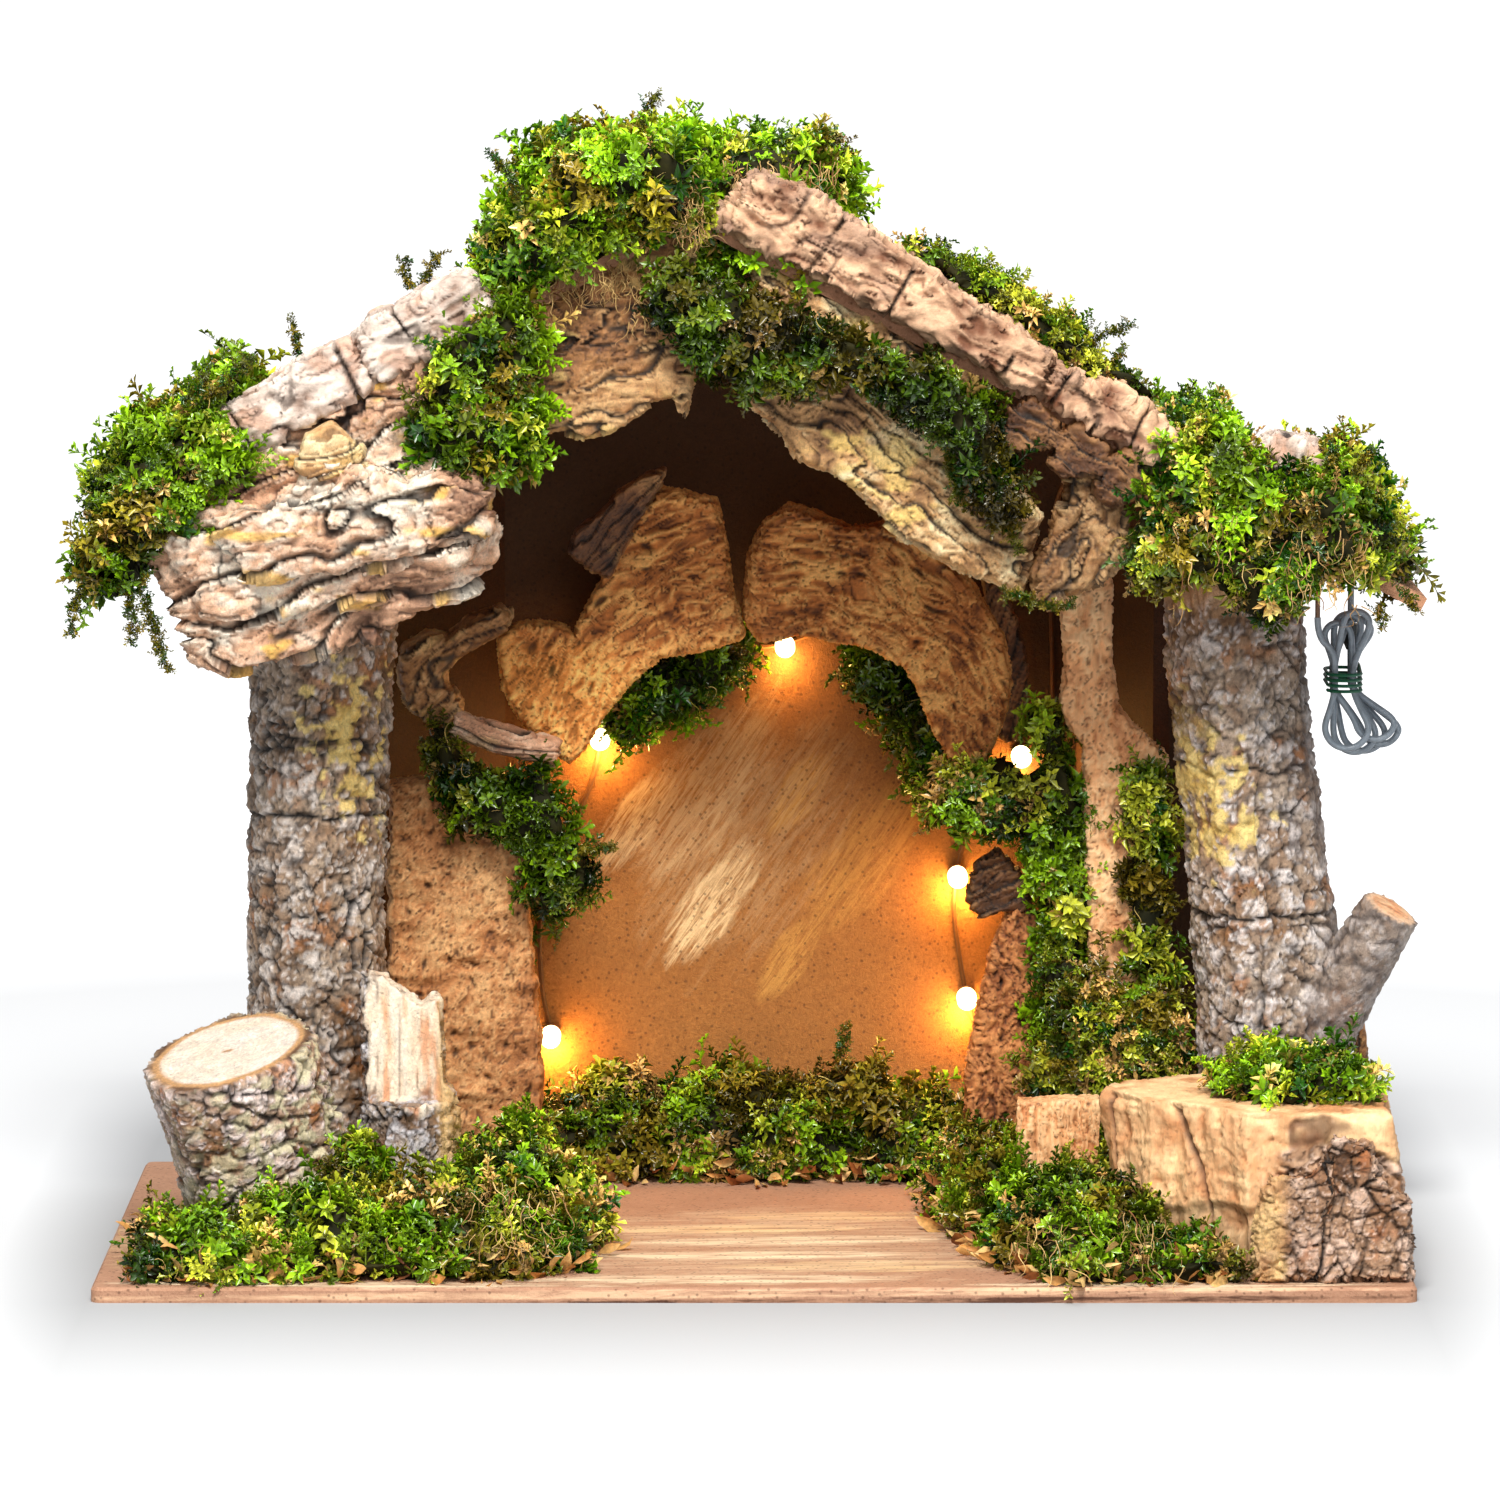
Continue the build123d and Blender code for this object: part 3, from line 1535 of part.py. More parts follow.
# Hank: loops one behind the other, gripped at the waist by the tie and fanned out below it
with BuildPart() as lead_hank:
    with BuildLine() as hank_path:
        Line(hank_start, (hank_x - hank_waist, hank_front, hank_z))
        for turn in range(hank_turns):
            y = hank_front + turn * hank_step
            lean, radius, reach = hank_lower_loops[turn]
            middle = hank_x + lean
            low_z = hank_z - reach + radius
            grip_z = hank_z - hank_grip
            grip_left = (hank_x - hank_waist, y, grip_z)
            low_left = (middle - radius, y, low_z)
            low_right = (middle + radius, y, low_z)
            Line((hank_x - hank_waist, y, hank_z), grip_left)
            ease(grip_left, low_left, (0, 0, -1))
            ThreePointArc(low_left, (middle, y, low_z - radius), low_right)
            y = y + hank_step
            grip_right = (hank_x + hank_waist, y, grip_z)
            waist_right = (hank_x + hank_waist, y, hank_z)
            ease(low_right, grip_right, (0, 0, 1))
            Line(grip_right, waist_right)
            if turn == hank_turns - 1:
                break
            lean, radius, reach = hank_upper_loops[turn]
            middle = hank_x + lean
            high_z = hank_z + reach - radius
            grip_z = hank_z + hank_grip
            grip_right = (hank_x + hank_waist, y, grip_z)
            high_right = (middle + radius, y, high_z)
            high_left = (middle - radius, y, high_z)
            grip_left = (hank_x - hank_waist, y, grip_z)
            Line(waist_right, grip_right)
            ease(grip_right, high_right, (0, 0, 1))
            ThreePointArc(high_right, (middle, y, high_z + radius), high_left)
            ease(high_left, grip_left, (0, 0, -1))
            Line(grip_left, (hank_x - hank_waist, y, hank_z))
        hank_end = (hank_x + hank_waist, connector_y, hank_z + connector_rise)
        hank_exit = (hank_x + hank_waist, connector_y, hank_z + connector_rise - lead_diameter)
        ease(waist_right, hank_exit, (0, 0, 1))
        Line(hank_exit, hank_end)
    tube(hank_path.wire(), lead_diameter, hank_sides)
keep(lead_hank, "lead_hank")


def clear_gap(path, diameter):
    """Least free gap between two stretches of a winding, measured on points of its middle line."""
    count = round(gap_points_share * path.length / diameter)
    spots = [tuple(path @ (k / count)) for k in range(count + 1)]
    skip = math.ceil(gap_skip_diameters * gap_points_share)
    return min(
        math.dist(here, there)
        for k, here in enumerate(spots)
        for there in spots[k + skip :]
    ) - diameter


def volume_ratio(solid, path, diameter, sides):
    """A tube's volume against its section times its length."""
    section = sides / 2 * (diameter / 2) ** 2 * math.sin(2 * math.pi / sides)
    return round(solid.part.volume / (section * path.length), 3)


def report(name, solid, path, diameter, sides):
    """Prints a winding's length, its least gap to itself and its volume ratio."""
    ratio = volume_ratio(solid, path, diameter, sides)
    gap = round(clear_gap(path, diameter), 2)
    print(name, "length", round(path.length, 1), "least gap", gap, "volume ratio", ratio)


report("hank", lead_hank, hank_path.wire(), lead_diameter, hank_sides)

# Tie: a thinner wire wound round the waist of the hank
with BuildPart() as lead_tie:
    tie_reach = hank_waist + lead_diameter / 2 + tie_gap + tie_diameter / 2
    tie_start = hank_z - tie_turns * tie_step / 2
    with BuildLine() as tie_path:
        for turn in range(tie_turns):
            z = tie_start + turn * tie_step
            front_left = (hank_x - tie_reach, hank_front, z)
            front_right = (hank_x + tie_reach, hank_front, z)
            back_right = (hank_x + tie_reach, hank_back, z + tie_step)
            back_left = (hank_x - tie_reach, hank_back, z + tie_step)
            ThreePointArc(front_left, (hank_x, hank_front - tie_reach, z), front_right)
            ease(front_right, back_right, (0, 1, 0))
            if turn == tie_turns - 1:
                break
            ThreePointArc(back_right, (hank_x, hank_back + tie_reach, z + tie_step), back_left)
            Line(back_left, (hank_x - tie_reach, hank_front, z + tie_step))
    tube(tie_path.wire(), tie_diameter, wire_sides)
keep(lead_tie, "lead_tie")
report("tie", lead_tie, tie_path.wire(), tie_diameter, wire_sides)

# Connector on the end of the lead, and the tail of wire that holds it up to the eave
with BuildPart() as lead_connector:
    with BuildSketch(Plane(origin=hank_end, x_dir=(1, 0, 0), z_dir=(0, -1, 0))):
        with BuildLine():
            Polyline(
                (0, 0),
                (lead_diameter / 2 + connector_lip, 0),
                (connector_radius, connector_taper),
                (connector_radius, connector_length),
                (0, connector_length),
                close=True,
            )
        make_face()
    revolve(axis=Axis(hank_end, (0, 0, 1)))
keep(lead_connector, "lead_connector")

with BuildPart() as lead_tail:
    with BuildSketch(Plane((hank_x + hank_waist, connector_y, hank_end[2] + connector_length))):
        RegularPolygon(lead_diameter / 2, hank_sides)
    extrude(amount=overrun)
    cut_by(above_roof)
keep(lead_tail, "lead_tail")
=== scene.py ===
"""Looks of the nativity stable: hardboard, bark, cork, moss, a string of small lights and its lead.

The bark and cork pieces are the frame's own solids, remeshed finely and worked into plates, cracks,
layers and fibres. Their colours are worked out with the same patterns, point by point, and the
materials add the finest grain. Moss is grown as leafy shoots over the frame's mounds.
Shapes are worked out in millimetres, in the frame's own axes.
"""

import math

import bpy
import numpy as np
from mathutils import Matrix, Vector, kdtree


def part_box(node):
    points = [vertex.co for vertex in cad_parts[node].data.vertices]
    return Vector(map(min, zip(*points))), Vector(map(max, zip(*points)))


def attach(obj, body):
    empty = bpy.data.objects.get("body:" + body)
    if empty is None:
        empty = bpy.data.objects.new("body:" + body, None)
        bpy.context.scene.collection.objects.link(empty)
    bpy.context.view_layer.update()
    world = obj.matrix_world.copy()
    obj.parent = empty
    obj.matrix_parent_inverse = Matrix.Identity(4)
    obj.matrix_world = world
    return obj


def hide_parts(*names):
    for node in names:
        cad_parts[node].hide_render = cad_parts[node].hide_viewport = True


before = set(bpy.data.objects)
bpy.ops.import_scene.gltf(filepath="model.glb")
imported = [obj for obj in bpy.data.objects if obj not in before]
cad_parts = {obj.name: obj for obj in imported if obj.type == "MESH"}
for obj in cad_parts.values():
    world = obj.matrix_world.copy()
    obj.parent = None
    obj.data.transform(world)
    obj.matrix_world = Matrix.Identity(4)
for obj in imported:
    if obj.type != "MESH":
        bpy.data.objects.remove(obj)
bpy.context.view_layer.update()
scene = bpy.context.scene
scene.view_settings.view_transform = "Standard"
MM = 0.001


def link(obj):
    """Puts an object in the scene."""
    scene.collection.objects.link(obj)
    return obj


def side_of(node, end, axis):
    """Where a node's box begins (end 0) or ends (end 1) along an axis, in mm."""
    return round(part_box(node)[end][axis] / MM, 3)


# Faces of the hardboard that carry paint and moss
board_top = side_of("base_board", 1, 2)
board_front = side_of("base_board", 0, 1)
wall_front = side_of("back_wall", 0, 1)

# Camera, for the photograph's square frame of photo_size pixels
photo_size = 1500.0
camera_height = 0.39765
camera_distance = 2.22495
camera_pitch = math.radians(6.733)
camera_lens, camera_sensor = 196.37, 36.0
camera_shift = -4.0 / photo_size
photo_lens = camera_lens / camera_sensor * photo_size

camera_data = bpy.data.cameras.new("camera")
camera_data.lens = camera_lens
camera_data.sensor_width = camera_sensor
camera_data.shift_x = camera_shift
camera_data.clip_end = 100.0
camera = link(bpy.data.objects.new("camera", camera_data))
camera.location = (0.0, -camera_distance, camera_height)
camera.rotation_euler = (math.radians(90.0) - camera_pitch, 0.0, 0.0)
scene.camera = camera


# Patterns
def lattice(ix, iy, iz, seed):
    """A steady random number from 0 to 1 for each cell of a lattice."""
    h = (ix * 374761393 + iy * 668265263 + iz * 1103515245 + seed * 974634777) & 0xFFFFFFFF
    h = ((h ^ (h >> 13)) * 1274126177) & 0xFFFFFFFF
    return (h ^ (h >> 16)) / 0xFFFFFFFF


def noise(points, size, seed):
    """Smooth noise from -1 to 1 with features about size across, one number or one per axis."""
    p = points / np.asarray(size, float)
    cell = np.floor(p).astype(np.int64)
    t = p - cell
    t = t * t * (3.0 - 2.0 * t)
    total = np.zeros(len(points))
    for dx in (0, 1):
        wx = t[:, 0] if dx else 1.0 - t[:, 0]
        for dy in (0, 1):
            wy = t[:, 1] if dy else 1.0 - t[:, 1]
            for dz in (0, 1):
                wz = t[:, 2] if dz else 1.0 - t[:, 2]
                corner = lattice(cell[:, 0] + dx, cell[:, 1] + dy, cell[:, 2] + dz, seed)
                total += wx * wy * wz * corner
    return 2.0 * total - 1.0


def layered(points, size, seed, layers=4):
    """Noise of several sizes, each half as large and half as strong as the one before."""
    size = np.asarray(size, float)
    total = np.zeros(len(points))
    for k in range(layers):
        total += noise(points, size / 2.0**k, seed + 17 * k) / 2.0**k
    return total


def ridged(points, size, seed, layers=3):
    """Wrinkles with sharp crests, from 0 in the troughs to 1 on the crests."""
    size = np.asarray(size, float)
    total, weight = np.zeros(len(points)), 0.0
    for k in range(layers):
        total += (1.0 - np.abs(noise(points, size / 2.0**k, seed + 17 * k))) / 2.0**k
        weight += 1.0 / 2.0**k
    return total / weight


def creases(points, size, width, seed):
    """Long thin cracks, 1 in their middle and 0 outside, where smooth noise passes through 0."""
    return 1.0 - step(np.abs(noise(points, size, seed)), 0.3 * width, width)


def cells(points, size, seed):
    """Distances to the nearest two of scattered centres, in cell sizes, and a random number per cell."""
    p = points / np.asarray(size, float)
    base = np.floor(p).astype(np.int64)
    first = np.full(len(points), 9.0)
    second = np.full(len(points), 9.0)
    label = np.zeros(len(points))
    for dx in (-1, 0, 1):
        for dy in (-1, 0, 1):
            for dz in (-1, 0, 1):
                ix, iy, iz = base[:, 0] + dx, base[:, 1] + dy, base[:, 2] + dz
                cx = ix + lattice(ix, iy, iz, seed)
                cy = iy + lattice(ix, iy, iz, seed + 1)
                cz = iz + lattice(ix, iy, iz, seed + 2)
                away = np.sqrt((p[:, 0] - cx) ** 2 + (p[:, 1] - cy) ** 2 + (p[:, 2] - cz) ** 2)
                nearer = away < first
                second = np.where(nearer, first, np.minimum(second, away))
                label = np.where(nearer, lattice(ix, iy, iz, seed + 3), label)
                first = np.where(nearer, away, first)
    return first, second, label


def step(values, low, high):
    """Rises smoothly from 0 at low to 1 at high."""
    t = np.clip((values - low) / (high - low), 0.0, 1.0)
    return t * t * (3.0 - 2.0 * t)


def warped(points, size, amount, seed):
    """The points, moved about by smooth noise."""
    return points + amount * np.stack([noise(points, size, seed + k) for k in range(3)], axis=1)


def turned(points, tilt):
    """The points, turned about the Y axis, so that a pattern made along X climbs by tilt degrees."""
    angle = math.radians(tilt)
    x = points[:, 0] * math.cos(angle) + points[:, 2] * math.sin(angle)
    z = points[:, 2] * math.cos(angle) - points[:, 0] * math.sin(angle)
    return np.stack([x, points[:, 1], z], axis=1)


def paint(*colour):
    """A colour written as red, green and blue from 0 to 255, as linear light."""
    value = np.array(colour, float) / 255.0
    return np.where(value <= 0.04045, value / 12.92, ((value + 0.055) / 1.055) ** 2.4)


def mixed(low, high, share):
    """Colours between two others, point by point."""
    share = np.clip(share, 0.0, 1.0)[:, None]
    return low * (1.0 - share) + high * share


# Worked copies of the frame's solids
def vectors(attribute):
    """A mesh's vertices or normals as rows."""
    values = np.zeros(len(attribute) * 3, np.float32)
    attribute.foreach_get("vector" if hasattr(attribute[0], "vector") else "co", values)
    return values.reshape(-1, 3).astype(float)


def remeshed(node, voxel, ease):
    """A copy of a node's solid in even faces, voxel mm wide, with its edges eased so many times."""
    piece = link(bpy.data.objects.new(f"{node}_look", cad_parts[node].data.copy()))
    piece.data.materials.clear()
    remesh = piece.modifiers.new("remesh", "REMESH")
    remesh.mode = "VOXEL"
    remesh.voxel_size = voxel * MM
    if ease:
        smooth = piece.modifiers.new("ease", "SMOOTH")
        smooth.iterations = ease
        smooth.factor = 0.5
    depsgraph = bpy.context.evaluated_depsgraph_get()
    mesh = bpy.data.meshes.new_from_object(piece.evaluated_get(depsgraph))
    piece.modifiers.clear()
    piece.data = mesh
    for polygon in mesh.polygons:
        polygon.use_smooth = True
    return piece


def work(node, voxel, look, material, ease=3, shape=None):
    """A worked copy of a node: look(points, normals) gives the relief and the colour of each point.

    A shape, where there is one, first moves the points of the even mesh.
    """
    piece = remeshed(node, voxel, ease)
    mesh = piece.data
    points = vectors(mesh.vertices) / MM
    normals = vectors(mesh.vertex_normals)
    if shape:
        points = shape(points)
    relief, colour = look(points, normals)
    points = points + normals * relief[:, None]
    points[:, 2] = np.maximum(points[:, 2], 0.0)
    mesh.vertices.foreach_set("co", (points * MM).astype(np.float32).ravel())
    tint(mesh, colour)
    mesh.update()
    mesh.materials.append(material)
    return stand_for(piece, node)


def tint(mesh, colour):
    """Writes one colour for each point of a mesh."""
    layer = mesh.color_attributes.new("tint", "FLOAT_COLOR", "POINT")
    rows = np.concatenate([np.clip(colour, 0.0, 1.0), np.ones((len(colour), 1))], axis=1)
    layer.data.foreach_set("color", rows.astype(np.float32).ravel())


def stand_for(piece, *nodes):
    """The piece rides on the stable in place of these nodes."""
    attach(piece, "root")
    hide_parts(*nodes)
    return piece


# Materials
def rgba(colour):
    """A colour as a node takes it: a link stays as it is, and three numbers get a full alpha."""
    return colour if isinstance(colour, bpy.types.NodeSocket) else (*colour, 1.0)


class Look:
    """A node material that is being put together, with its patterns laid out in millimetres."""

    def __init__(self, name):
        self.material = bpy.data.materials.new(name)
        self.material.use_nodes = True
        self.nodes = self.material.node_tree.nodes
        self.links = self.material.node_tree.links
        self.shader = self.nodes["Principled BSDF"]
        metres = self.added("TexCoord", {}, "Object")
        self.place = self.scaled(metres, (1.0 / MM, 1.0 / MM, 1.0 / MM))

    def feed(self, node, name, value):
        """Links or sets one input of a node, by the input's name or number."""
        if isinstance(value, bpy.types.NodeSocket):
            self.links.new(value, node.inputs[name])
        else:
            node.inputs[name].default_value = value

    def added(self, kind, inputs, output, **settings):
        """An output of a new node that has these settings and inputs."""
        node = self.nodes.new(f"ShaderNode{kind}")
        for name, value in settings.items():
            setattr(node, name, value)
        for name, value in inputs.items():
            self.feed(node, name, value)
        return node.outputs[output]

    def scaled(self, vector, scale, turn=(0.0, 0.0, 0.0)):
        """A place scaled along each axis and then turned by degrees."""
        rotation = tuple(math.radians(angle) for angle in turn)
        return self.added("Mapping", {"Vector": vector, "Rotation": rotation, "Scale": scale}, "Vector")

    def from_point(self, point):
        """The place as measured from a point."""
        return self.added("VectorMath", {0: self.place, 1: point}, "Vector", operation="SUBTRACT")

    def axes(self, vector):
        """A vector's X, Y and Z."""
        node = self.nodes.new("ShaderNodeSeparateXYZ")
        self.feed(node, 0, vector)
        return tuple(node.outputs)

    def noise(self, size, detail=3.0, roughness=0.55, place=None, warp=0.0):
        """Soft noise from 0 to 1, with features about size mm across."""
        inputs = {
            "Vector": place or self.place,
            "Scale": 1.0 / size,
            "Detail": detail,
            "Roughness": roughness,
            "Distortion": warp,
        }
        return self.added("TexNoise", inputs, "Fac")

    def cells(self, size):
        """Distance to scattered points about size mm apart."""
        return self.added("TexVoronoi", {"Vector": self.place, "Scale": 1.0 / size}, "Distance")

    def between(self, value, low, high, to_low=0.0, to_high=1.0):
        """Carries a value's range to another, kept inside it."""
        inputs = {"Value": value, "From Min": low, "From Max": high, "To Min": to_low, "To Max": to_high}
        return self.added("MapRange", inputs, "Result")

    def math(self, kind, *values):
        """One step of arithmetic on one or two values."""
        return self.added("Math", dict(enumerate(values)), "Value", operation=kind)

    def product(self, value, *others):
        """All the values multiplied."""
        for other in others:
            value = self.math("MULTIPLY", value, other)
        return value

    def mix(self, share, low, high):
        """A colour between two others."""
        return self.added("Mix", {0: share, 6: rgba(low), 7: rgba(high)}, 2, data_type="RGBA")

    def shaded_tint(self, shade):
        """The colour that each point of the mesh carries, times a shade."""
        tint = self.added("VertexColor", {}, "Color", layer_name="tint")
        return self.added("VectorMath", {0: tint, "Scale": shade}, "Vector", operation="SCALE")

    def bump(self, height, depth):
        """Fine relief, depth mm high."""
        normal = self.added("Bump", {"Distance": depth * MM, "Height": height}, "Normal")
        self.feed(self.shader, "Normal", normal)

    def finish(self, colour, roughness, specular=0.4):
        """Gives the shader its colour and gloss."""
        self.feed(self.shader, "Base Color", rgba(colour))
        self.feed(self.shader, "Roughness", roughness)
        self.shader.inputs["Specular IOR Level"].default_value = specular
        return self.material


def grained_look(name, grain, stretch, contrast, depth, roughness, specular=0.4, pores=0.75):
    """Bark or cork: the mesh's own colours, with fine grain, a few pores and relief over them.

    The grain is grain mm wide, drawn out by stretch, and depth mm deep. Its contrast and the pores'
    darkness are shares of the colour.
    """
    look = Look(name)
    fine = look.noise(grain, 6.0, 0.7, look.scaled(look.place, stretch), 0.8)
    coarse = look.noise(grain * 4.0, 3.0, 0.6)
    sparse = look.noise(grain * 9.0, 2.0)
    pore = look.between(look.cells(grain * 2.6), 0.06, 0.2)
    pore = look.math("MAXIMUM", pore, look.between(sparse, 0.56, 0.46))
    shade = look.product(
        look.between(fine, 0.3, 0.7, 1.0 - contrast, 1.0 + contrast),
        look.between(coarse, 0.3, 0.7, 0.86, 1.14),
        look.between(pore, 0.0, 1.0, pores, 1.0),
    )
    look.bump(look.math("ADD", fine, look.product(pore, 0.3)), depth)
    rough = look.between(fine, 0.3, 0.7, roughness - 0.15, roughness + 0.1)
    return look.finish(look.shaded_tint(shade), rough, specular)


bark_look = grained_look("rough_bark", 0.9, (1.0, 1.0, 0.8), 0.34, 0.6, 0.5, 0.5)
cork_look = grained_look("cork", 0.9, (1.0, 1.0, 1.0), 0.26, 0.5, 0.66, pores=0.6)
pale_look = grained_look("pale_bark", 0.8, (0.6, 1.0, 1.0), 0.2, 0.4, 0.6)
smooth_look = grained_look("inner_bark", 1.1, (1.0, 1.0, 0.35), 0.14, 0.3, 0.6)


# Hardboard with brush strokes, and painted shade on the wall
def stroke_mask(look, middle, half_length, half_width, turn, bristle):
    """Where a dry brush stroke shows: ragged round its edge, streaked, and on its own face alone."""
    along = look.scaled(look.from_point(middle), (1.0, 1.0, 1.0), turn)
    x, y, z = look.axes(along)
    lies_flat = abs(turn[0]) + abs(turn[2]) > 0
    across, off = (y, z) if lies_flat else (z, y)
    streak = look.noise(bristle, 4.0, 0.75, look.scaled(along, (0.09, 1.0, 1.0)), 0.6)
    ragged = look.noise(7.0, 4.0, 0.7, look.scaled(along, (0.3, 1.0, 1.0)), 0.5)
    reach = look.math("DIVIDE", x, half_length)
    width = look.math("DIVIDE", across, half_width)
    away = look.math("ADD", look.product(reach, reach), look.product(width, width))
    edge = look.product(look.math("SUBTRACT", ragged, 0.5), 2.2)
    inside = look.math("ADD", look.math("SUBTRACT", 1.0, away), edge)
    return look.product(
        look.between(inside, 0.0, 0.6),
        look.between(streak, 0.4, 0.56, 0.05, 1.0),
        look.between(look.math("ABSOLUTE", off), 1.5, 0.8),
    )


# Painted shade on the wall: the heights and the distances from the middle over which it darkens
painted_shade_height, painted_shade_side = (92.0, 182.0), (62.0, 80.0)


def painted_shade_mask(look, blotch):
    """Where shade is painted on the wall's front: high up, under the roof, and near its sides."""
    x, y, z = look.axes(look.place)
    above = look.between(look.math("ADD", z, look.product(blotch, 24.0)), *painted_shade_height)
    beside = look.between(look.math("ABSOLUTE", x), *painted_shade_side)
    in_front = look.between(y, wall_front + 2.5, wall_front + 1.5)
    return look.product(look.math("MAXIMUM", above, beside), in_front)


def hardboard_look(name, dark, light, strokes=(), painted_shade=False, bristle=1.3):
    """Brown hardboard: short fibres and dark specks, dry brush strokes of pale paint and, on a wall, painted
    shade.

    Each stroke is its middle (x, y, z), its half length and half width in mm, its turn about each
    axis in degrees, its strength and its colour. Its streaks are about bristle mm wide.
    """
    look = Look(name)
    fibre_a = look.noise(1.3, 4.0, 0.7, look.scaled(look.place, (1.0, 1.0, 0.6), (0, 25, 20)), 2.5)
    fibre_b = look.noise(2.2, 4.0, 0.7, look.scaled(look.place, (0.7, 1.0, 1.0), (0, 35, -15)), 2.5)
    fibres = look.math("ADD", fibre_a, fibre_b)
    blotch = look.noise(28.0, 3.0, 0.6)
    specks = look.between(look.cells(2.1), 0.12, 0.26)
    colour = look.mix(look.between(fibres, 0.6, 1.4), dark, light)
    colour = look.mix(look.between(blotch, 0.3, 0.7, 0.0, 0.3), colour, 0.8 * dark)
    for middle, half_length, half_width, turn, strength, tone in strokes:
        mask = stroke_mask(look, middle, half_length, half_width, turn, bristle)
        colour = look.mix(look.product(mask, strength), colour, tone)
    colour = look.mix(look.between(specks, 0.0, 1.0, 0.55, 0.0), colour, paint(70, 40, 20))
    if painted_shade:
        # Painted shade on the wall's front: darker high up, where the roof shades it, and near its sides
        colour = look.mix(look.product(painted_shade_mask(look, blotch), 0.86), colour, paint(40, 22, 10))
    look.bump(fibres, 0.25)
    return look.finish(colour, 0.7, 0.35)


cream = paint(240, 208, 156)
honey = paint(224, 168, 84)
ivory = paint(250, 228, 192)
wall_turn = (0.0, 55.0, 0.0)
wall_strokes = [
    ((-12.0, wall_front, 80.0), 22.0, 8.5, wall_turn, 1.0, cream),
    ((-34.0, wall_front, 104.0), 20.0, 7.0, wall_turn, 0.8, cream),
    ((-14.0, wall_front, 112.0), 34.0, 14.0, wall_turn, 0.4, cream),
    ((13.0, wall_front, 112.0), 16.0, 6.0, wall_turn, 0.6, honey),
    ((10.0, wall_front, 64.0), 16.0, 6.0, wall_turn, 0.55, honey),
    ((32.0, wall_front, 94.0), 28.0, 12.0, wall_turn, 0.4, honey),
    ((-2.0, wall_front, 96.0), 44.0, 26.0, wall_turn, 0.22, cream),
]
edge_turn = (0.0, 0.5, 0.0)
floor_strokes = [
    ((0.0, board_front, 2.6), 190.0, 1.3, edge_turn, 0.75, paint(250, 206, 166)),
    # The dark stroke along the foot of the front edge is painted shadow where the board meets the floor
    ((0.0, board_front, 0.1), 190.0, 1.0, edge_turn, 0.9, paint(70, 36, 20)),
    ((-2.0, -52.0, board_top), 46.0, 7.0, (0.0, 0.0, -3.0), 1.0, ivory),
    ((10.0, -30.0, board_top), 48.0, 8.0, (0.0, 0.0, -6.0), 0.9, ivory),
    ((-8.0, -12.0, board_top), 40.0, 8.0, (0.0, 0.0, -4.0), 0.9, cream),
    ((30.0, -68.0, board_top), 40.0, 10.0, (0.0, 0.0, -5.0), 0.7, cream),
    ((20.0, 8.0, board_top), 34.0, 9.0, (0.0, 0.0, -3.0), 0.6, cream),
    ((0.0, -34.0, board_top), 90.0, 60.0, (0.0, 0.0, -4.0), 0.3, ivory),
    ((-104.0, -95.0, board_top), 70.0, 4.5, (0.0, 0.0, 1.0), 0.9, ivory),
    ((-10.0, -88.0, board_top), 60.0, 8.0, (0.0, 0.0, -2.0), 0.8, ivory),
    ((116.0, -95.0, board_top), 60.0, 4.0, (0.0, 0.0, -1.0), 0.8, ivory),
    ((-158.0, -40.0, board_top), 22.0, 50.0, (0.0, 0.0, -8.0), 0.4, cream),
]
wall_tones = (paint(128, 78, 32), paint(196, 132, 66))
floor_tones = (paint(166, 118, 90), paint(206, 160, 130))
wall_look = hardboard_look("hardboard_wall", *wall_tones, wall_strokes, painted_shade=True)
floor_look = hardboard_look("hardboard_floor", *floor_tones, floor_strokes, bristle=4.0)
board_look = hardboard_look("hardboard", paint(156, 104, 74), paint(218, 164, 128))
# The side panels get a much darker copy of the hardboard: painted shade for the dim inside of the stable
painted_shade_board_look = hardboard_look("painted_shade_hardboard", paint(46, 24, 10), paint(92, 54, 26))


def dress(node, material):
    """Gives a node of the frame its material."""
    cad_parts[node].data.materials.clear()
    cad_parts[node].data.materials.append(material)


dress("back_wall", wall_look)
dress("base_board", floor_look)
for side in ("left", "right"):
    dress(f"roof_panel_{side}", board_look)
    dress(f"side_panel_{side}", painted_shade_board_look)
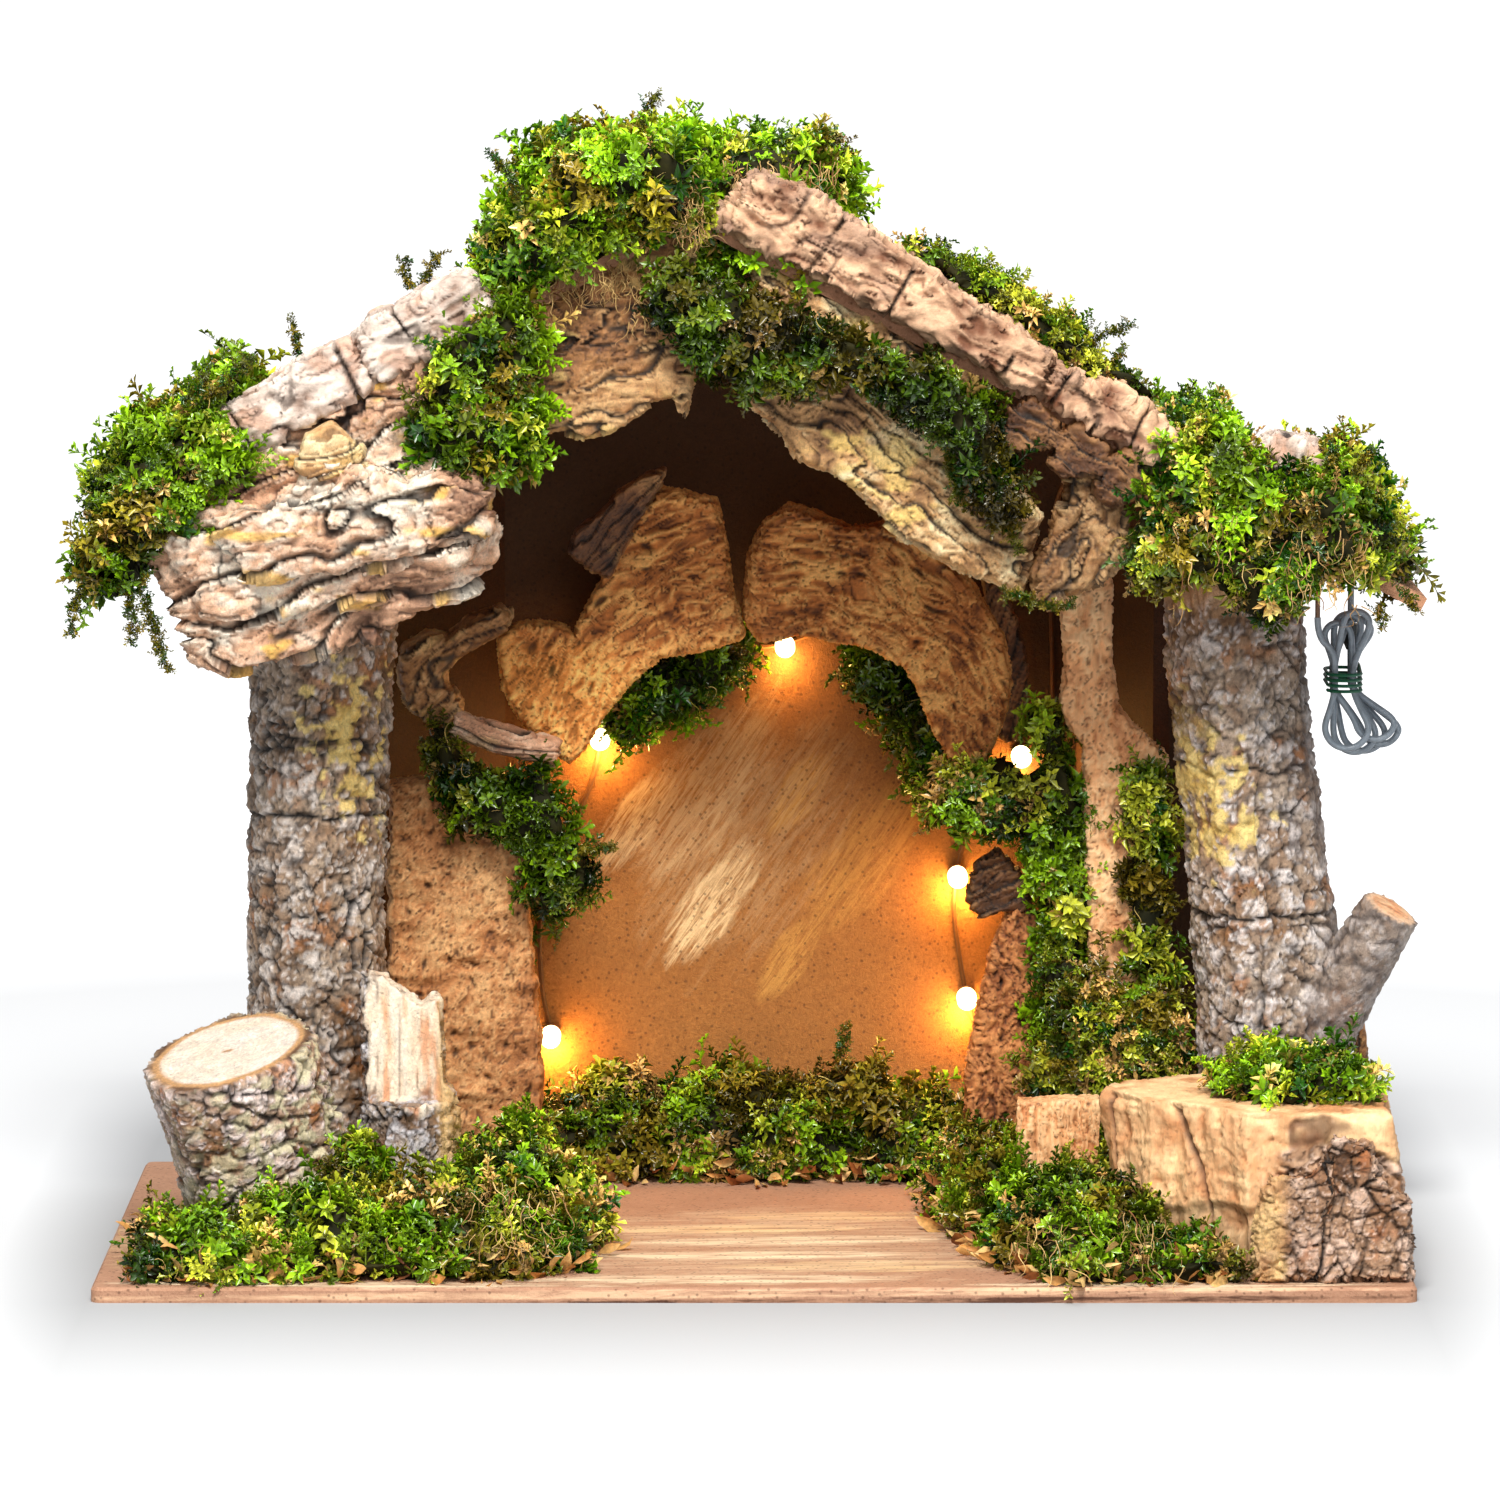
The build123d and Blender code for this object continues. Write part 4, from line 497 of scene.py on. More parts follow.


# Bark of the trunks: flat plates of several sizes, parted by narrow cracks that hold painted shade
def trunk_bark(points, seed, plate=(9.0, 9.0, 7.5), rings=()):
    """Relief and colour of rough grey-brown bark, with deeper cracks round it at the rings' heights."""
    bent = warped(points, 7.0, 1.7, seed)
    first, second, label = cells(bent, plate, seed + 5)
    wide = step(noise(points, 15.0, seed + 31), -0.5, 0.45)
    crack = (1.0 - step(second - first, 0.0, 0.11)) * (0.3 + 0.7 * wide)
    for height in rings:
        ripple = height + 2.2 * noise(points, 9.0, seed + 37) + 1.0 * noise(points, 3.0, seed + 39)
        crack = np.maximum(crack, 1.0 - step(np.abs(points[:, 2] - ripple), 0.25, 0.9))
    small_bent = warped(points, 5.0, 1.6, seed + 9)
    small_first, small_second, small_label = cells(small_bent, (6.0, 6.0, 4.6), seed + 11)
    fine_crack = 1.0 - step(small_second - small_first, 0.0, 0.12)
    flakes = layered(bent, (8.0, 8.0, 6.0), seed + 15, 3) * 3.2
    within = flakes - np.floor(flakes)
    lip = step(within, 0.72, 0.95)
    foot = 1.0 - step(within, 0.0, 0.14)
    wrinkle = ridged(points, (3.4, 3.4, 2.4), seed + 21, 3)
    broad = layered(points, 22.0, seed + 33, 2)
    relief = 0.7 * broad + 0.9 * (label - 0.5) + 0.7 * (within - 0.5) + 0.7 * (wrinkle - 0.6)
    relief += 0.5 * (small_label - 0.5) - 1.7 * crack - 0.5 * fine_crack
    brown, grey = paint(140, 106, 76), paint(196, 180, 166)
    colour = mixed(brown, grey, 0.5 + 0.6 * layered(points, 12.0, seed + 41, 3) + 0.5 * (small_label - 0.5))
    # Silvery grey on the lips and the wrinkles' crests: partly the bark's weathered colour, partly painted
    # highlight
    silver_and_highlight = step(0.6 * small_label + 0.45 * lip + 0.6 * wrinkle, 0.75, 1.15)
    colour = mixed(colour, paint(236, 232, 238), 0.85 * silver_and_highlight)
    rust = step(layered(points, 7.0, seed + 51, 2), 0.35, 0.8)
    colour = mixed(colour, paint(186, 120, 66), 0.6 * rust * (1.0 - silver_and_highlight))
    # Painted shade in the fine cracks and at the foot of each flake, and deep painted shade in the cracks
    colour = mixed(colour, paint(44, 27, 18), np.maximum(0.8 * fine_crack, 0.7 * foot))
    colour = mixed(colour, paint(18, 11, 8), crack)
    return relief, colour


def from_tip(points, root, tip):
    """A branch's direction, how far past its tip each point lies, and how far from its middle line."""
    axis = (tip - root) / np.linalg.norm(tip - root)
    along = (points - tip) @ axis
    away = np.linalg.norm((points - tip) - along[:, None] * axis, axis=1)
    return axis, along, away


def yellow_paint(points, colour, places, seed):
    """Dry yellow paint on the front of the bark, in patches round chosen places.

    Each place is x, z, a half width, a half height and a strength.
    """
    rough = layered(points, 3.2, seed, 3)
    for x, z, half_width, half_height, strength in places:
        away = np.sqrt(((points[:, 0] - x) / half_width) ** 2 + ((points[:, 2] - z) / half_height) ** 2)
        share = step(1.05 - away + 1.5 * rough, 0.0, 0.4) * strength
        tone = mixed(paint(216, 172, 70), paint(250, 222, 142), 0.5 + 0.8 * rough)
        colour = mixed(colour, tone, share * (points[:, 1] < 40.0))
    return colour


def post_left_look(points, normals):
    """The left post: painted shade on its outer side, with yellow paint above the middle."""
    relief, colour = trunk_bark(points, 100, rings=(135.0, 116.0))
    # Painted shade: the post is darker on its outer, left side
    dim = 0.62 + 0.38 * step(points[:, 0] + 3.0 * noise(points, 14.0, 105), -128.0, -112.0)
    colour = colour * (0.75 + 0.25 * dim)[:, None] * np.array([0.97, 0.91, 0.8])
    places = [(-112.0, 143.0, 7.5, 9.0, 0.9), (-109.0, 126.0, 4.5, 13.0, 0.85)]
    return relief, yellow_paint(points, colour, places, 120)


def side_branch(points, normals, relief, colour):
    """Lays the right post's smooth side branch and its pale cut end over the post's own bark."""
    tip = np.array([176.0, 14.0, 89.5])
    root = np.array([150.0, 26.0, 42.0])
    axis, along, away = from_tip(points, root, tip)
    branch = step((points - root) @ axis, 8.0, 16.0) * step(points[:, 0] - 0.25 * points[:, 2], 134.0, 139.0)
    relief = relief * (1.0 - 0.6 * branch) + 0.7 * branch
    smooth_bark = mixed(paint(70, 54, 48), paint(172, 156, 146), 0.5 + 0.8 * layered(points, 3.6, 260, 4))
    colour = mixed(colour, smooth_bark, 0.6 * branch)
    cut = step(along, -1.2, -0.4) * step(normals @ axis, 0.4, 0.8)
    wood = mixed(paint(226, 150, 100), paint(250, 206, 160), 0.5 + 0.6 * layered(points, 2.0, 270, 3))
    wood = mixed(wood, paint(186, 100, 60), 0.8 * creases(points, 5.0, 0.09, 272))
    wood = mixed(wood, paint(238, 196, 160), step(away, 5.4, 6.2))
    wood = mixed(wood, paint(96, 70, 56), step(away, 6.9, 7.9))
    colour = mixed(colour, wood, cut)
    relief = relief * (1.0 - cut)
    return relief, colour


def post_right_look(points, normals):
    """The right post: torn at its top, with yellow paint and a side branch."""
    relief, colour = trunk_bark(points, 200, (10.0, 10.0, 8.0), rings=(128.0, 88.0))
    colour = colour * np.array([1.15, 1.1, 1.02])
    torn = step(points[:, 2] + 3.0 * layered(points, 6.0, 205, 2), 170.0, 178.0)
    fibres = layered(points, (1.6, 1.6, 9.0), 207, 3)
    colour = mixed(colour, mixed(paint(150, 100, 64), paint(232, 186, 140), 0.5 + 0.5 * fibres), torn)
    relief = relief * (1.0 - torn) + torn * (0.9 * fibres - 0.8)
    places = [
        (121.0, 124.0, 9.0, 9.0, 0.9),
        (127.0, 111.0, 9.0, 8.0, 0.9),
        (118.0, 138.0, 8.0, 8.0, 0.4),
    ]
    return side_branch(points, normals, relief, yellow_paint(points, colour, places, 220))


def stump_look(points, normals):
    """The stump: bark with pale lichen, and a pale cut top with rings and a rim of bark."""
    relief, colour = trunk_bark(points, 300, (9.0, 9.0, 8.0))
    relief = relief + 1.8
    colour = colour * np.array([1.3, 1.15, 1.05])
    top = np.array([-142.5, -34.0, 57.0])
    root = np.array([-129.0, -19.0, 4.0])
    axis, along, away = from_tip(points, root, top)
    edge = away + 0.8 * layered(points, 12.0, 340, 2)
    cut = step(along, -1.4, -0.5) * step(normals @ axis, 0.3, 0.7)
    lichen = step(layered(points, 3.0, 350, 3), -0.05, 0.3) * (0.3 + 0.7 * step(points[:, 0], -158.0, -128.0))
    colour = mixed(colour, paint(240, 230, 190), 0.75 * lichen)
    wood = mixed(paint(248, 228, 206), paint(255, 244, 234), 0.5 + 0.5 * layered(points, 7.0, 360, 3))
    rings = 0.5 + 0.5 * np.sin(away * 4.6 + 1.4 * layered(points, 9.0, 370, 2))
    wood = mixed(wood, paint(236, 206, 164), 0.3 * rings)
    wood = mixed(wood, paint(214, 164, 112), step(edge, 18.4, 19.8))
    wood = mixed(wood, paint(116, 84, 58), step(edge, 20.6, 21.6))
    fleck = np.hypot((points[:, 0] - top[0]) / 2.2, (points[:, 1] - top[1]) / 1.1)
    wood = mixed(wood, paint(196, 140, 84), 1.0 - step(fleck, 0.4, 1.0))
    colour = mixed(colour, wood, cut)
    relief = relief * (1.0 - cut) + cut * 0.12 * layered(points, 3.0, 380, 3)
    return relief, colour


def split_log_look(points, normals):
    """The split log: torn pale wood on its front and top, and bark round its foot."""
    relief, colour = trunk_bark(points, 400, (7.0, 7.0, 6.0))
    facing = -normals[:, 1]
    torn = step(points[:, 2] + 2.5 * layered(points, 7.0, 410, 2), 38.0, 42.0)
    torn = torn * np.maximum(step(facing, 0.1, 0.4), step(points[:, 2], 60.0, 66.0))
    torn = torn * step(points[:, 0] - 1.8 * layered(points, 9.0, 415, 2), -107.0, -105.0)
    grain = layered(points * np.array([1.0, 1.0, 0.09]), (1.8, 1.8, 1.8), 420, 3)
    wood = mixed(paint(246, 216, 182), paint(255, 242, 222), 0.5 + 0.6 * grain)
    wood = mixed(wood, paint(226, 156, 112), step(-grain, 0.25, 0.8) * 0.8)
    wood = mixed(wood, paint(110, 66, 40), 0.6 * creases(points, (2.6, 6.0, 30.0), 0.07, 424))
    colour = mixed(colour, wood, torn)
    relief = relief * (1.0 - torn) + torn * (1.0 * grain)
    side = step(points[:, 0], -87.5, -85.0) * step(points[:, 2], 20.0, 26.0) * step(facing, -0.3, 0.2)
    colour = mixed(colour, mixed(paint(206, 160, 96), paint(236, 200, 140), 0.5 + 0.5 * grain), side * 0.9)
    return relief, colour


work("post_left", 0.9, post_left_look, bark_look)
work("post_right", 0.9, post_right_look, bark_look)
work("stump", 0.7, stump_look, bark_look, 1)
work("split_log", 0.6, split_log_look, bark_look, 1)


# Torn bark in layers, and thick outer bark in plates
def torn_bark(seed, tilt, tones, pitch=9.0, rise=2.2, fine=0.7, flow=28.0, crack=0.6, gold=0.3, shade=0.0):
    """A look for bark in torn layers that overlap like shingles, with edges that climb by tilt degrees.

    The tones are dark, middle, light and the accent that lies on some of the lips, as strong as gold.
    The layers are about pitch mm apart and stand out by rise, with finer ones between them that stand
    out by fine. They wind over lengths of about flow, and their cross cracks are crack deep. The lips
    get painted highlight and the gaps and cracks painted shade, and shade darkens the whole piece as
    painted shade.
    """
    dark, middle, light, accent = tones

    def look(points, normals):
        along = turned(points, tilt)
        bent = warped(along, (flow, 0.5 * flow, 0.4 * flow), 0.4 * pitch, seed)
        level = bent[:, 2] / pitch + 0.8 * layered(bent, (flow, 0.6 * flow, 0.5 * flow), seed + 3, 3)
        within = level - np.floor(level)
        small = 3.1 * level + 0.9 * layered(bent, (0.5 * flow, 0.3 * flow, 0.2 * flow), seed + 5, 3)
        small_within = small - np.floor(small)
        wrinkle = ridged(along, (6.0, 2.6, 1.5), seed + 7, 3) - 0.62
        grain = layered(points, (2.6, 2.0, 1.6), seed + 9, 3)
        gap = 1.0 - step(within, 0.04, 0.23)
        small_gap = 1.0 - step(small_within, 0.0, 0.26)
        across = creases(bent, (8.0, 8.0, 26.0), 0.06, seed + 11) * (noise(points, 11.0, seed + 13) > 0.0)
        broad = layered(points, 20.0, seed + 15, 2)
        relief = rise * (within - 0.5 - 0.3 * gap) + fine * (0.8 * small_within - 0.5 * small_gap)
        relief += 1.5 * fine * wrinkle + 0.3 * fine * grain + 0.6 * broad - crack * across
        tone = 0.5 + 0.45 * layered(points, 13.0, seed + 17, 3) + 0.25 * (small_within - 0.5) + 0.2 * grain
        colour = mixed(dark, middle, 2.0 * tone)
        # Lighter towards each layer's lip: painted highlight
        colour = mixed(colour, light, 2.0 * tone - 1.0 + 0.5 * step(within, 0.75, 1.0))
        spot = step(layered(points, (13.0, 8.0, 6.0), seed + 23, 3) + 0.5 * (within - 0.5), 0.45, 0.75)
        colour = mixed(colour, accent, gold * spot)
        # Painted shade in the small gaps, and deeper painted shade in the gaps under the layers and in the
        # cross cracks
        colour = mixed(colour, 0.25 * dark, 0.6 * small_gap)
        colour = mixed(colour, paint(20, 11, 6), np.maximum(0.95 * gap, 0.85 * across))
        # Shade darkens the whole piece: painted shade for the pieces that lie in the shade of the roof
        return relief, colour * (1.0 - shade)

    return look


def plated(seed, tilt, tones, spacing=26.0, roughness=1.1):
    """A look for thick outer bark: pale plates with a rough skin, stained patches and cracks across them.

    The tones are low, high and stained. The cracks are about spacing mm apart, and roughness scales
    the skin's relief.
    """
    low_tone, high_tone, stain = tones

    def look(points, normals):
        along = turned(points, tilt)
        bent = warped(along, (12.0, 12.0, 12.0), 2.0, seed)
        skin = layered(along, (5.0, 3.5, 3.0), seed + 3, 4)
        wrinkle = ridged(bent, (6.0, 4.0, 2.6), seed + 5, 3) - 0.62
        number = (bent[:, 0] + 0.6 * spacing * noise(along, (spacing, 50.0, 50.0), seed + 7)) / spacing
        block = np.sin(7.3 * np.floor(number) + seed)
        open_share = step(noise(along, (spacing, 9.0, 9.0), seed + 19), -0.5, -0.1)
        crack = (1.0 - step(spacing * np.abs(number - np.round(number)), 0.3, 1.1)) * open_share
        small = creases(bent, (9.0, 9.0, 6.0), 0.09, seed + 9)
        small = small * step(noise(points, 9.0, seed + 11), -0.2, 0.4)
        ledge = layered(bent, (20.0, 9.0, 5.0), seed + 13, 3) * 2.2
        within = ledge - np.floor(ledge)
        foot = 1.0 - step(within, 0.0, 0.12)
        relief = roughness * (0.7 * skin + 1.2 * wrinkle + 1.2 * within + 0.6 * block)
        relief -= 2.0 * crack + 0.8 * small
        # Lighter on the raised skin, the wrinkles' crests and the ledges: painted highlight
        tone = 0.55 + 0.5 * layered(points, 8.0, seed + 15, 3) + 0.4 * skin
        tone = tone + 0.9 * wrinkle + 0.4 * (within - 0.5)
        colour = mixed(low_tone, high_tone, tone)
        colour = mixed(colour, stain, 0.7 * step(layered(points, (9.0, 9.0, 6.0), seed + 17, 3), 0.15, 0.6))
        # Painted shade in the small cracks and at the foot of each ledge, and deeper painted shade in the
        # cracks across
        colour = mixed(colour, 0.25 * low_tone, np.maximum(0.8 * small, 0.65 * foot))
        return relief, mixed(colour, paint(34, 20, 12), 0.95 * crack)

    return look


chalky = (paint(146, 116, 98), paint(240, 222, 208), paint(206, 158, 130))
fleshy = (paint(120, 74, 48), paint(238, 192, 154), paint(166, 130, 108))
pinkish = (paint(140, 98, 74), paint(232, 182, 146), paint(255, 242, 222), paint(255, 200, 96))
greyish = (paint(128, 88, 54), paint(214, 164, 108), paint(255, 234, 184), paint(255, 218, 126))
tannish = (paint(98, 58, 32), paint(184, 128, 76), paint(236, 188, 130), paint(250, 210, 130))
brownish = (paint(66, 38, 22), paint(126, 80, 46), paint(190, 136, 86), paint(210, 160, 100))
rosy = (paint(156, 102, 72), paint(220, 166, 130), paint(252, 222, 192), paint(252, 214, 150))

work("eave_bark_left", 0.7, torn_bark(500, 16.0, pinkish, 10.0, 3.4, 1.1, 27.0, gold=0.8), bark_look)
work("eave_chip_left", 0.5, torn_bark(520, 10.0, greyish, 6.0, 1.0, 0.4), bark_look)
work("verge_bark_left_upper", 0.6, plated(540, 30.0, chalky), pale_look)
work("verge_bark_left_lower", 0.6, plated(560, 30.0, chalky), pale_look)
work("verge_bark_right_upper", 0.6, plated(580, -29.0, fleshy, 30.0, 1.6), pale_look)
work("verge_bark_right_lower", 0.6, plated(600, -29.0, fleshy, 16.0, 1.7), pale_look)
work("roof_knob", 0.7, plated(620, 80.0, chalky, 8.0, 1.2), pale_look)
gable_top_look = torn_bark(640, 4.0, tannish, 22.0, 1.6, 0.9, 20.0, gold=0.7, shade=0.14)
work("gable_bark_top", 0.6, gable_top_look, bark_look)
work("gable_bark_right", 0.6, torn_bark(660, -38.0, greyish, 8.0, 1.6, 1.0, 15.0, gold=0.6), bark_look)
gable_far_look = torn_bark(680, 64.0, tannish, 8.0, 2.2, 1.1, 14.0, gold=0.15, shade=0.34)
work("gable_bark_far_right", 0.6, gable_far_look, bark_look)
work("gable_chips", 0.5, torn_bark(700, -30.0, brownish, 6.0, 1.4, 0.8, 16.0, shade=0.25), bark_look)
work("arch_curl", 0.45, torn_bark(720, 50.0, brownish, 3.2, 1.0, 0.4, 14.0), bark_look)
work("arch_peel", 0.55, torn_bark(740, 72.0, brownish, 3.4, 1.0, 0.5, 20.0), bark_look)
work("knot_bark", 0.6, torn_bark(760, 40.0, tannish, 5.0, 1.2, 0.7, 18.0, shade=0.1), bark_look)
work("roll_bark", 0.5, torn_bark(780, -12.0, rosy, 5.0, 1.0, 0.4, 24.0), bark_look)
work("inner_chip_right", 0.5, torn_bark(800, 20.0, brownish, 4.0, 1.4, 0.6, 14.0, shade=0.3), bark_look)
work("rear_strip_right", 0.6, torn_bark(820, 85.0, tannish, 3.0, 0.6, 0.3, 20.0), bark_look)


# Cork seen on its cut or inner side: short torn fibres and pits
def shredded(seed, middle, tones, stroke=(1.9, 5.2), depth=0.9, pits=0.4, ripple=0.0, contrast=1.4):
    """A look for cork with short fibres that run round a middle point (x, z), or upright for None.

    Each fibre is as wide and long as stroke says and about depth mm deep. Pits is the share of places
    with a pit, ripple the height of soft waves, and contrast how much lighter the fibres' crests are
    than their troughs: a painted highlight and shade.
    """
    dark, mid, light = tones

    def look(points, normals):
        if middle:
            x, z = points[:, 0] - middle[0], points[:, 2] - middle[1]
            flow = np.stack([np.hypot(x, z), points[:, 1], np.arctan2(z, x) * 45.0], axis=1)
        else:
            flow = points
        bent = warped(warped(flow, 9.0, 3.4, seed), 3.0, 1.3, seed + 21)
        size = (stroke[0], stroke[0], stroke[1])
        fibre = ridged(bent, size, seed + 3, 3) - 0.62
        level = 2.6 * layered(bent, (4.0, 4.0, 7.5), seed + 5, 3)
        within = level - np.floor(level)
        foot = 1.0 - step(within, 0.0, 0.16)
        broad = layered(points, 15.0, seed + 7, 2)
        first, _, label = cells(warped(bent, 4.0, 1.0, seed + 9), (3.2, 3.2, 5.4), seed + 11)
        pit = (1.0 - step(first, 0.12, 0.3)) * (label < pits)
        wave = ripple * noise(points, (16.0, 16.0, 3.0), seed + 13)
        relief = 0.6 * broad + 2.2 * depth * fibre + 1.1 * depth * within - 1.1 * pit + wave
        # Lighter on the fibres' crests and raised layers, darker in the troughs: painted highlight and shade
        tone = 0.5 + contrast * fibre + 0.4 * (within - 0.5) + 0.3 * broad
        colour = mixed(dark, mid, 2.0 * tone)
        colour = mixed(colour, light, 2.0 * tone - 1.0)
        # Painted shade in the pits and at the foot of each layer
        colour = mixed(colour, 0.2 * dark, np.maximum(0.9 * pit, 0.8 * foot))
        return relief, colour

    return look


orange = (paint(100, 52, 20), paint(192, 114, 52), paint(244, 182, 104))
sandy = (paint(122, 70, 36), paint(190, 126, 74), paint(232, 180, 122))
peachy = (paint(184, 116, 70), paint(234, 172, 118), paint(252, 208, 156))
umber = (paint(66, 34, 16), paint(152, 88, 46), paint(216, 144, 84))


def arch_left_look(points, normals):
    """The left arch: lighter at its low end."""
    relief, colour = shredded(900, (8.0, 110.0), orange)(points, normals)
    low = step(-points[:, 2] + 6.0 * noise(points, 12.0, 905), -166.0, -150.0)
    return relief, mixed(colour, colour * 1.25 + np.array([0.06, 0.035, 0.0]), low)


work("arch_left", 0.5, arch_left_look, cork_look)
work("arch_right", 0.5, shredded(920, (8.0, 110.0), orange), cork_look)
work("side_bark_left", 0.6, shredded(940, None, sandy, (3.4, 3.0), 0.5, 0.8, 0.9, 0.7), cork_look)
work("branch_bark", 0.6, shredded(960, None, peachy, (3.2, 13.0), 0.9, 0.08, 0.0, 1.1), smooth_look)
work("inner_cork_right", 0.5, shredded(980, None, umber, (1.6, 5.0), 1.1, 0.9), cork_look)
work("ribbed_cork", 0.5, shredded(1000, None, peachy, (1.6, 9.0), 0.4, 0.2), smooth_look)


def block_look(points, normals):
    """The thick cork block: a peach cut top with a crisp edge, and a front with soft upright folds."""
    relief, colour = shredded(1020, None, peachy, (2.4, 9.0), 0.35, 0.15)(points, normals)
    side = 1.0 - step(normals[:, 2], 0.5, 0.8)
    folds = layered(points, (9.0, 9.0, 60.0), 1030, 3)
    seams = creases(points, (12.0, 12.0, 60.0), 0.08, 1032) * side
    chips = ridged(points, (7.0, 7.0, 4.5), 1038, 3) - 0.62
    under = side * (1.0 - step(points[:, 2] + 2.5 * noise(points, 12.0, 1048), 20.0, 23.0))
    under = under * (1.0 - step(points[:, 0], 138.0, 144.0))
    relief += side * (2.4 * folds - 1.6 * seams + 1.6 * chips) - 2.2 * under
    # The pale wood is paler at random and on the chips' crests, a painted highlight
    paleness = 0.55 + 0.9 * layered(points, 7.0, 1034, 3) + 0.8 * chips
    pale_wood = mixed(paint(204, 140, 92), paint(250, 208, 156), paleness)
    rim = step(points[:, 2] + 2.0 * noise(points, 9.0, 1036), 40.0, 44.0)
    colour = mixed(colour, pale_wood, 0.55 + 0.4 * rim)
    # Painted shade on the sunk band low on the sides
    colour = colour * (1.0 - 0.35 * under)[:, None]
    bark_relief, bark_colour = trunk_bark(points, 1040, (8.0, 8.0, 6.5))
    edge = points[:, 0] + 6.0 * layered(points, 14.0, 1044, 2)
    top = points[:, 2] + 3.0 * noise(points, 9.0, 1046) + 0.15 * np.abs(points[:, 0] - 148.0)
    bark = side * step(edge, 133.0, 138.0) * (1.0 - step(top, 39.0, 42.0))
    bark_colour = bark_colour * np.array([0.98, 0.72, 0.52]) + np.array([0.02, 0.01, 0.003])
    colour = mixed(colour, bark_colour, bark)
    relief = relief * (1.0 - bark) + bark * (1.3 * bark_relief + 0.6)
    # Painted shade in the seams
    colour = mixed(colour, paint(92, 58, 38), 0.8 * seams * (1.0 - bark))
    return relief, colour


def flakes_look(points, normals):
    """The loose grey flakes at the block's corner, paler on the left, with one deep fissure."""
    relief, colour = trunk_bark(points, 1060, (8.0, 8.0, 7.0))
    pale = 1.0 - step(points[:, 0] + 3.0 * layered(points, 8.0, 1064, 2), 138.0, 143.0)
    pale_tone = mixed(paint(196, 146, 96), paint(244, 206, 140), 0.5 + 0.6 * layered(points, 5.0, 1066, 3))
    warm = colour * np.array([0.96, 0.72, 0.54]) + np.array([0.02, 0.01, 0.003])
    colour = mixed(warm, pale_tone, 0.85 * pale)
    wander = 150.0 + 4.0 * noise(points, 14.0, 1068) + 1.2 * noise(points, 4.0, 1069)
    fissure = 1.0 - step(np.abs(points[:, 0] - wander), 0.2, 0.9)
    # Painted shade in the deep fissure
    colour = mixed(colour, paint(24, 14, 8), fissure)
    return 1.2 * relief - 2.2 * fissure, colour


work("cork_block", 0.7, block_look, smooth_look)
work("block_flakes", 0.5, flakes_look, bark_look)


# Places that are chosen by where the photograph shows them
def seen_at(px, py, y):
    """The place, in mm, at depth y on the line of sight through a pixel of the photograph."""
    across = (px - photo_size / 2.0) / photo_lens + camera_shift * photo_size / photo_lens
    up = (photo_size / 2.0 - py) / photo_lens
    forward = math.cos(camera_pitch) + up * math.sin(camera_pitch)
    rise = up * math.cos(camera_pitch) - math.sin(camera_pitch)
    reach = (y * MM + camera_distance) / forward
    return np.array([reach * across / MM, y, (camera_height + reach * rise) / MM])


def seen_from(points):
    """The pixels of the photograph at which places in mm are seen."""
    ahead = points[:, 1] * MM + camera_distance
    above = points[:, 2] * MM - camera_height
    depth = ahead * math.cos(camera_pitch) - above * math.sin(camera_pitch)
    up = (ahead * math.sin(camera_pitch) + above * math.cos(camera_pitch)) / depth
    across = points[:, 0] * MM / depth - camera_shift * photo_size / photo_lens
    return photo_size / 2.0 + across * photo_lens, photo_size / 2.0 - up * photo_lens


# The lamps stay in sight: no moss grows within so many pixels of where each is seen (x, y, radius)
lamp_spots = [
    (788, 650, 26),
    (592, 745, 24),
    (548, 1054, 22),
    (1020, 757, 31),
    (956, 874, 26),
    (965, 994, 20),
]


def clear_of_lamps(points):
    """True for the places that do not hide a lamp."""
    px, py = seen_from(points)
    clear = np.ones(len(points), bool)
    for x, y, radius in lamp_spots:
        clear &= np.hypot(px - x, py - y) > radius
    return clear


# Shoots, threads and dry leaves that the moss is made of
def stalk(centre, thickness):
    """The points and triangles of a three-sided stalk along a line of centres."""
    points, faces = [], []
    for k, (middle, thick) in enumerate(zip(centre, thickness)):
        for side in range(3):
            angle = 2.0 * math.pi * side / 3.0
            points.append(middle + thick * np.array([math.cos(angle), math.sin(angle), 0.0]))
            if k:
                a, b = 3 * (k - 1) + side, 3 * (k - 1) + (side + 1) % 3
                faces += [(a, b, b + 3), (a, b + 3, a + 3)]
    return points, faces


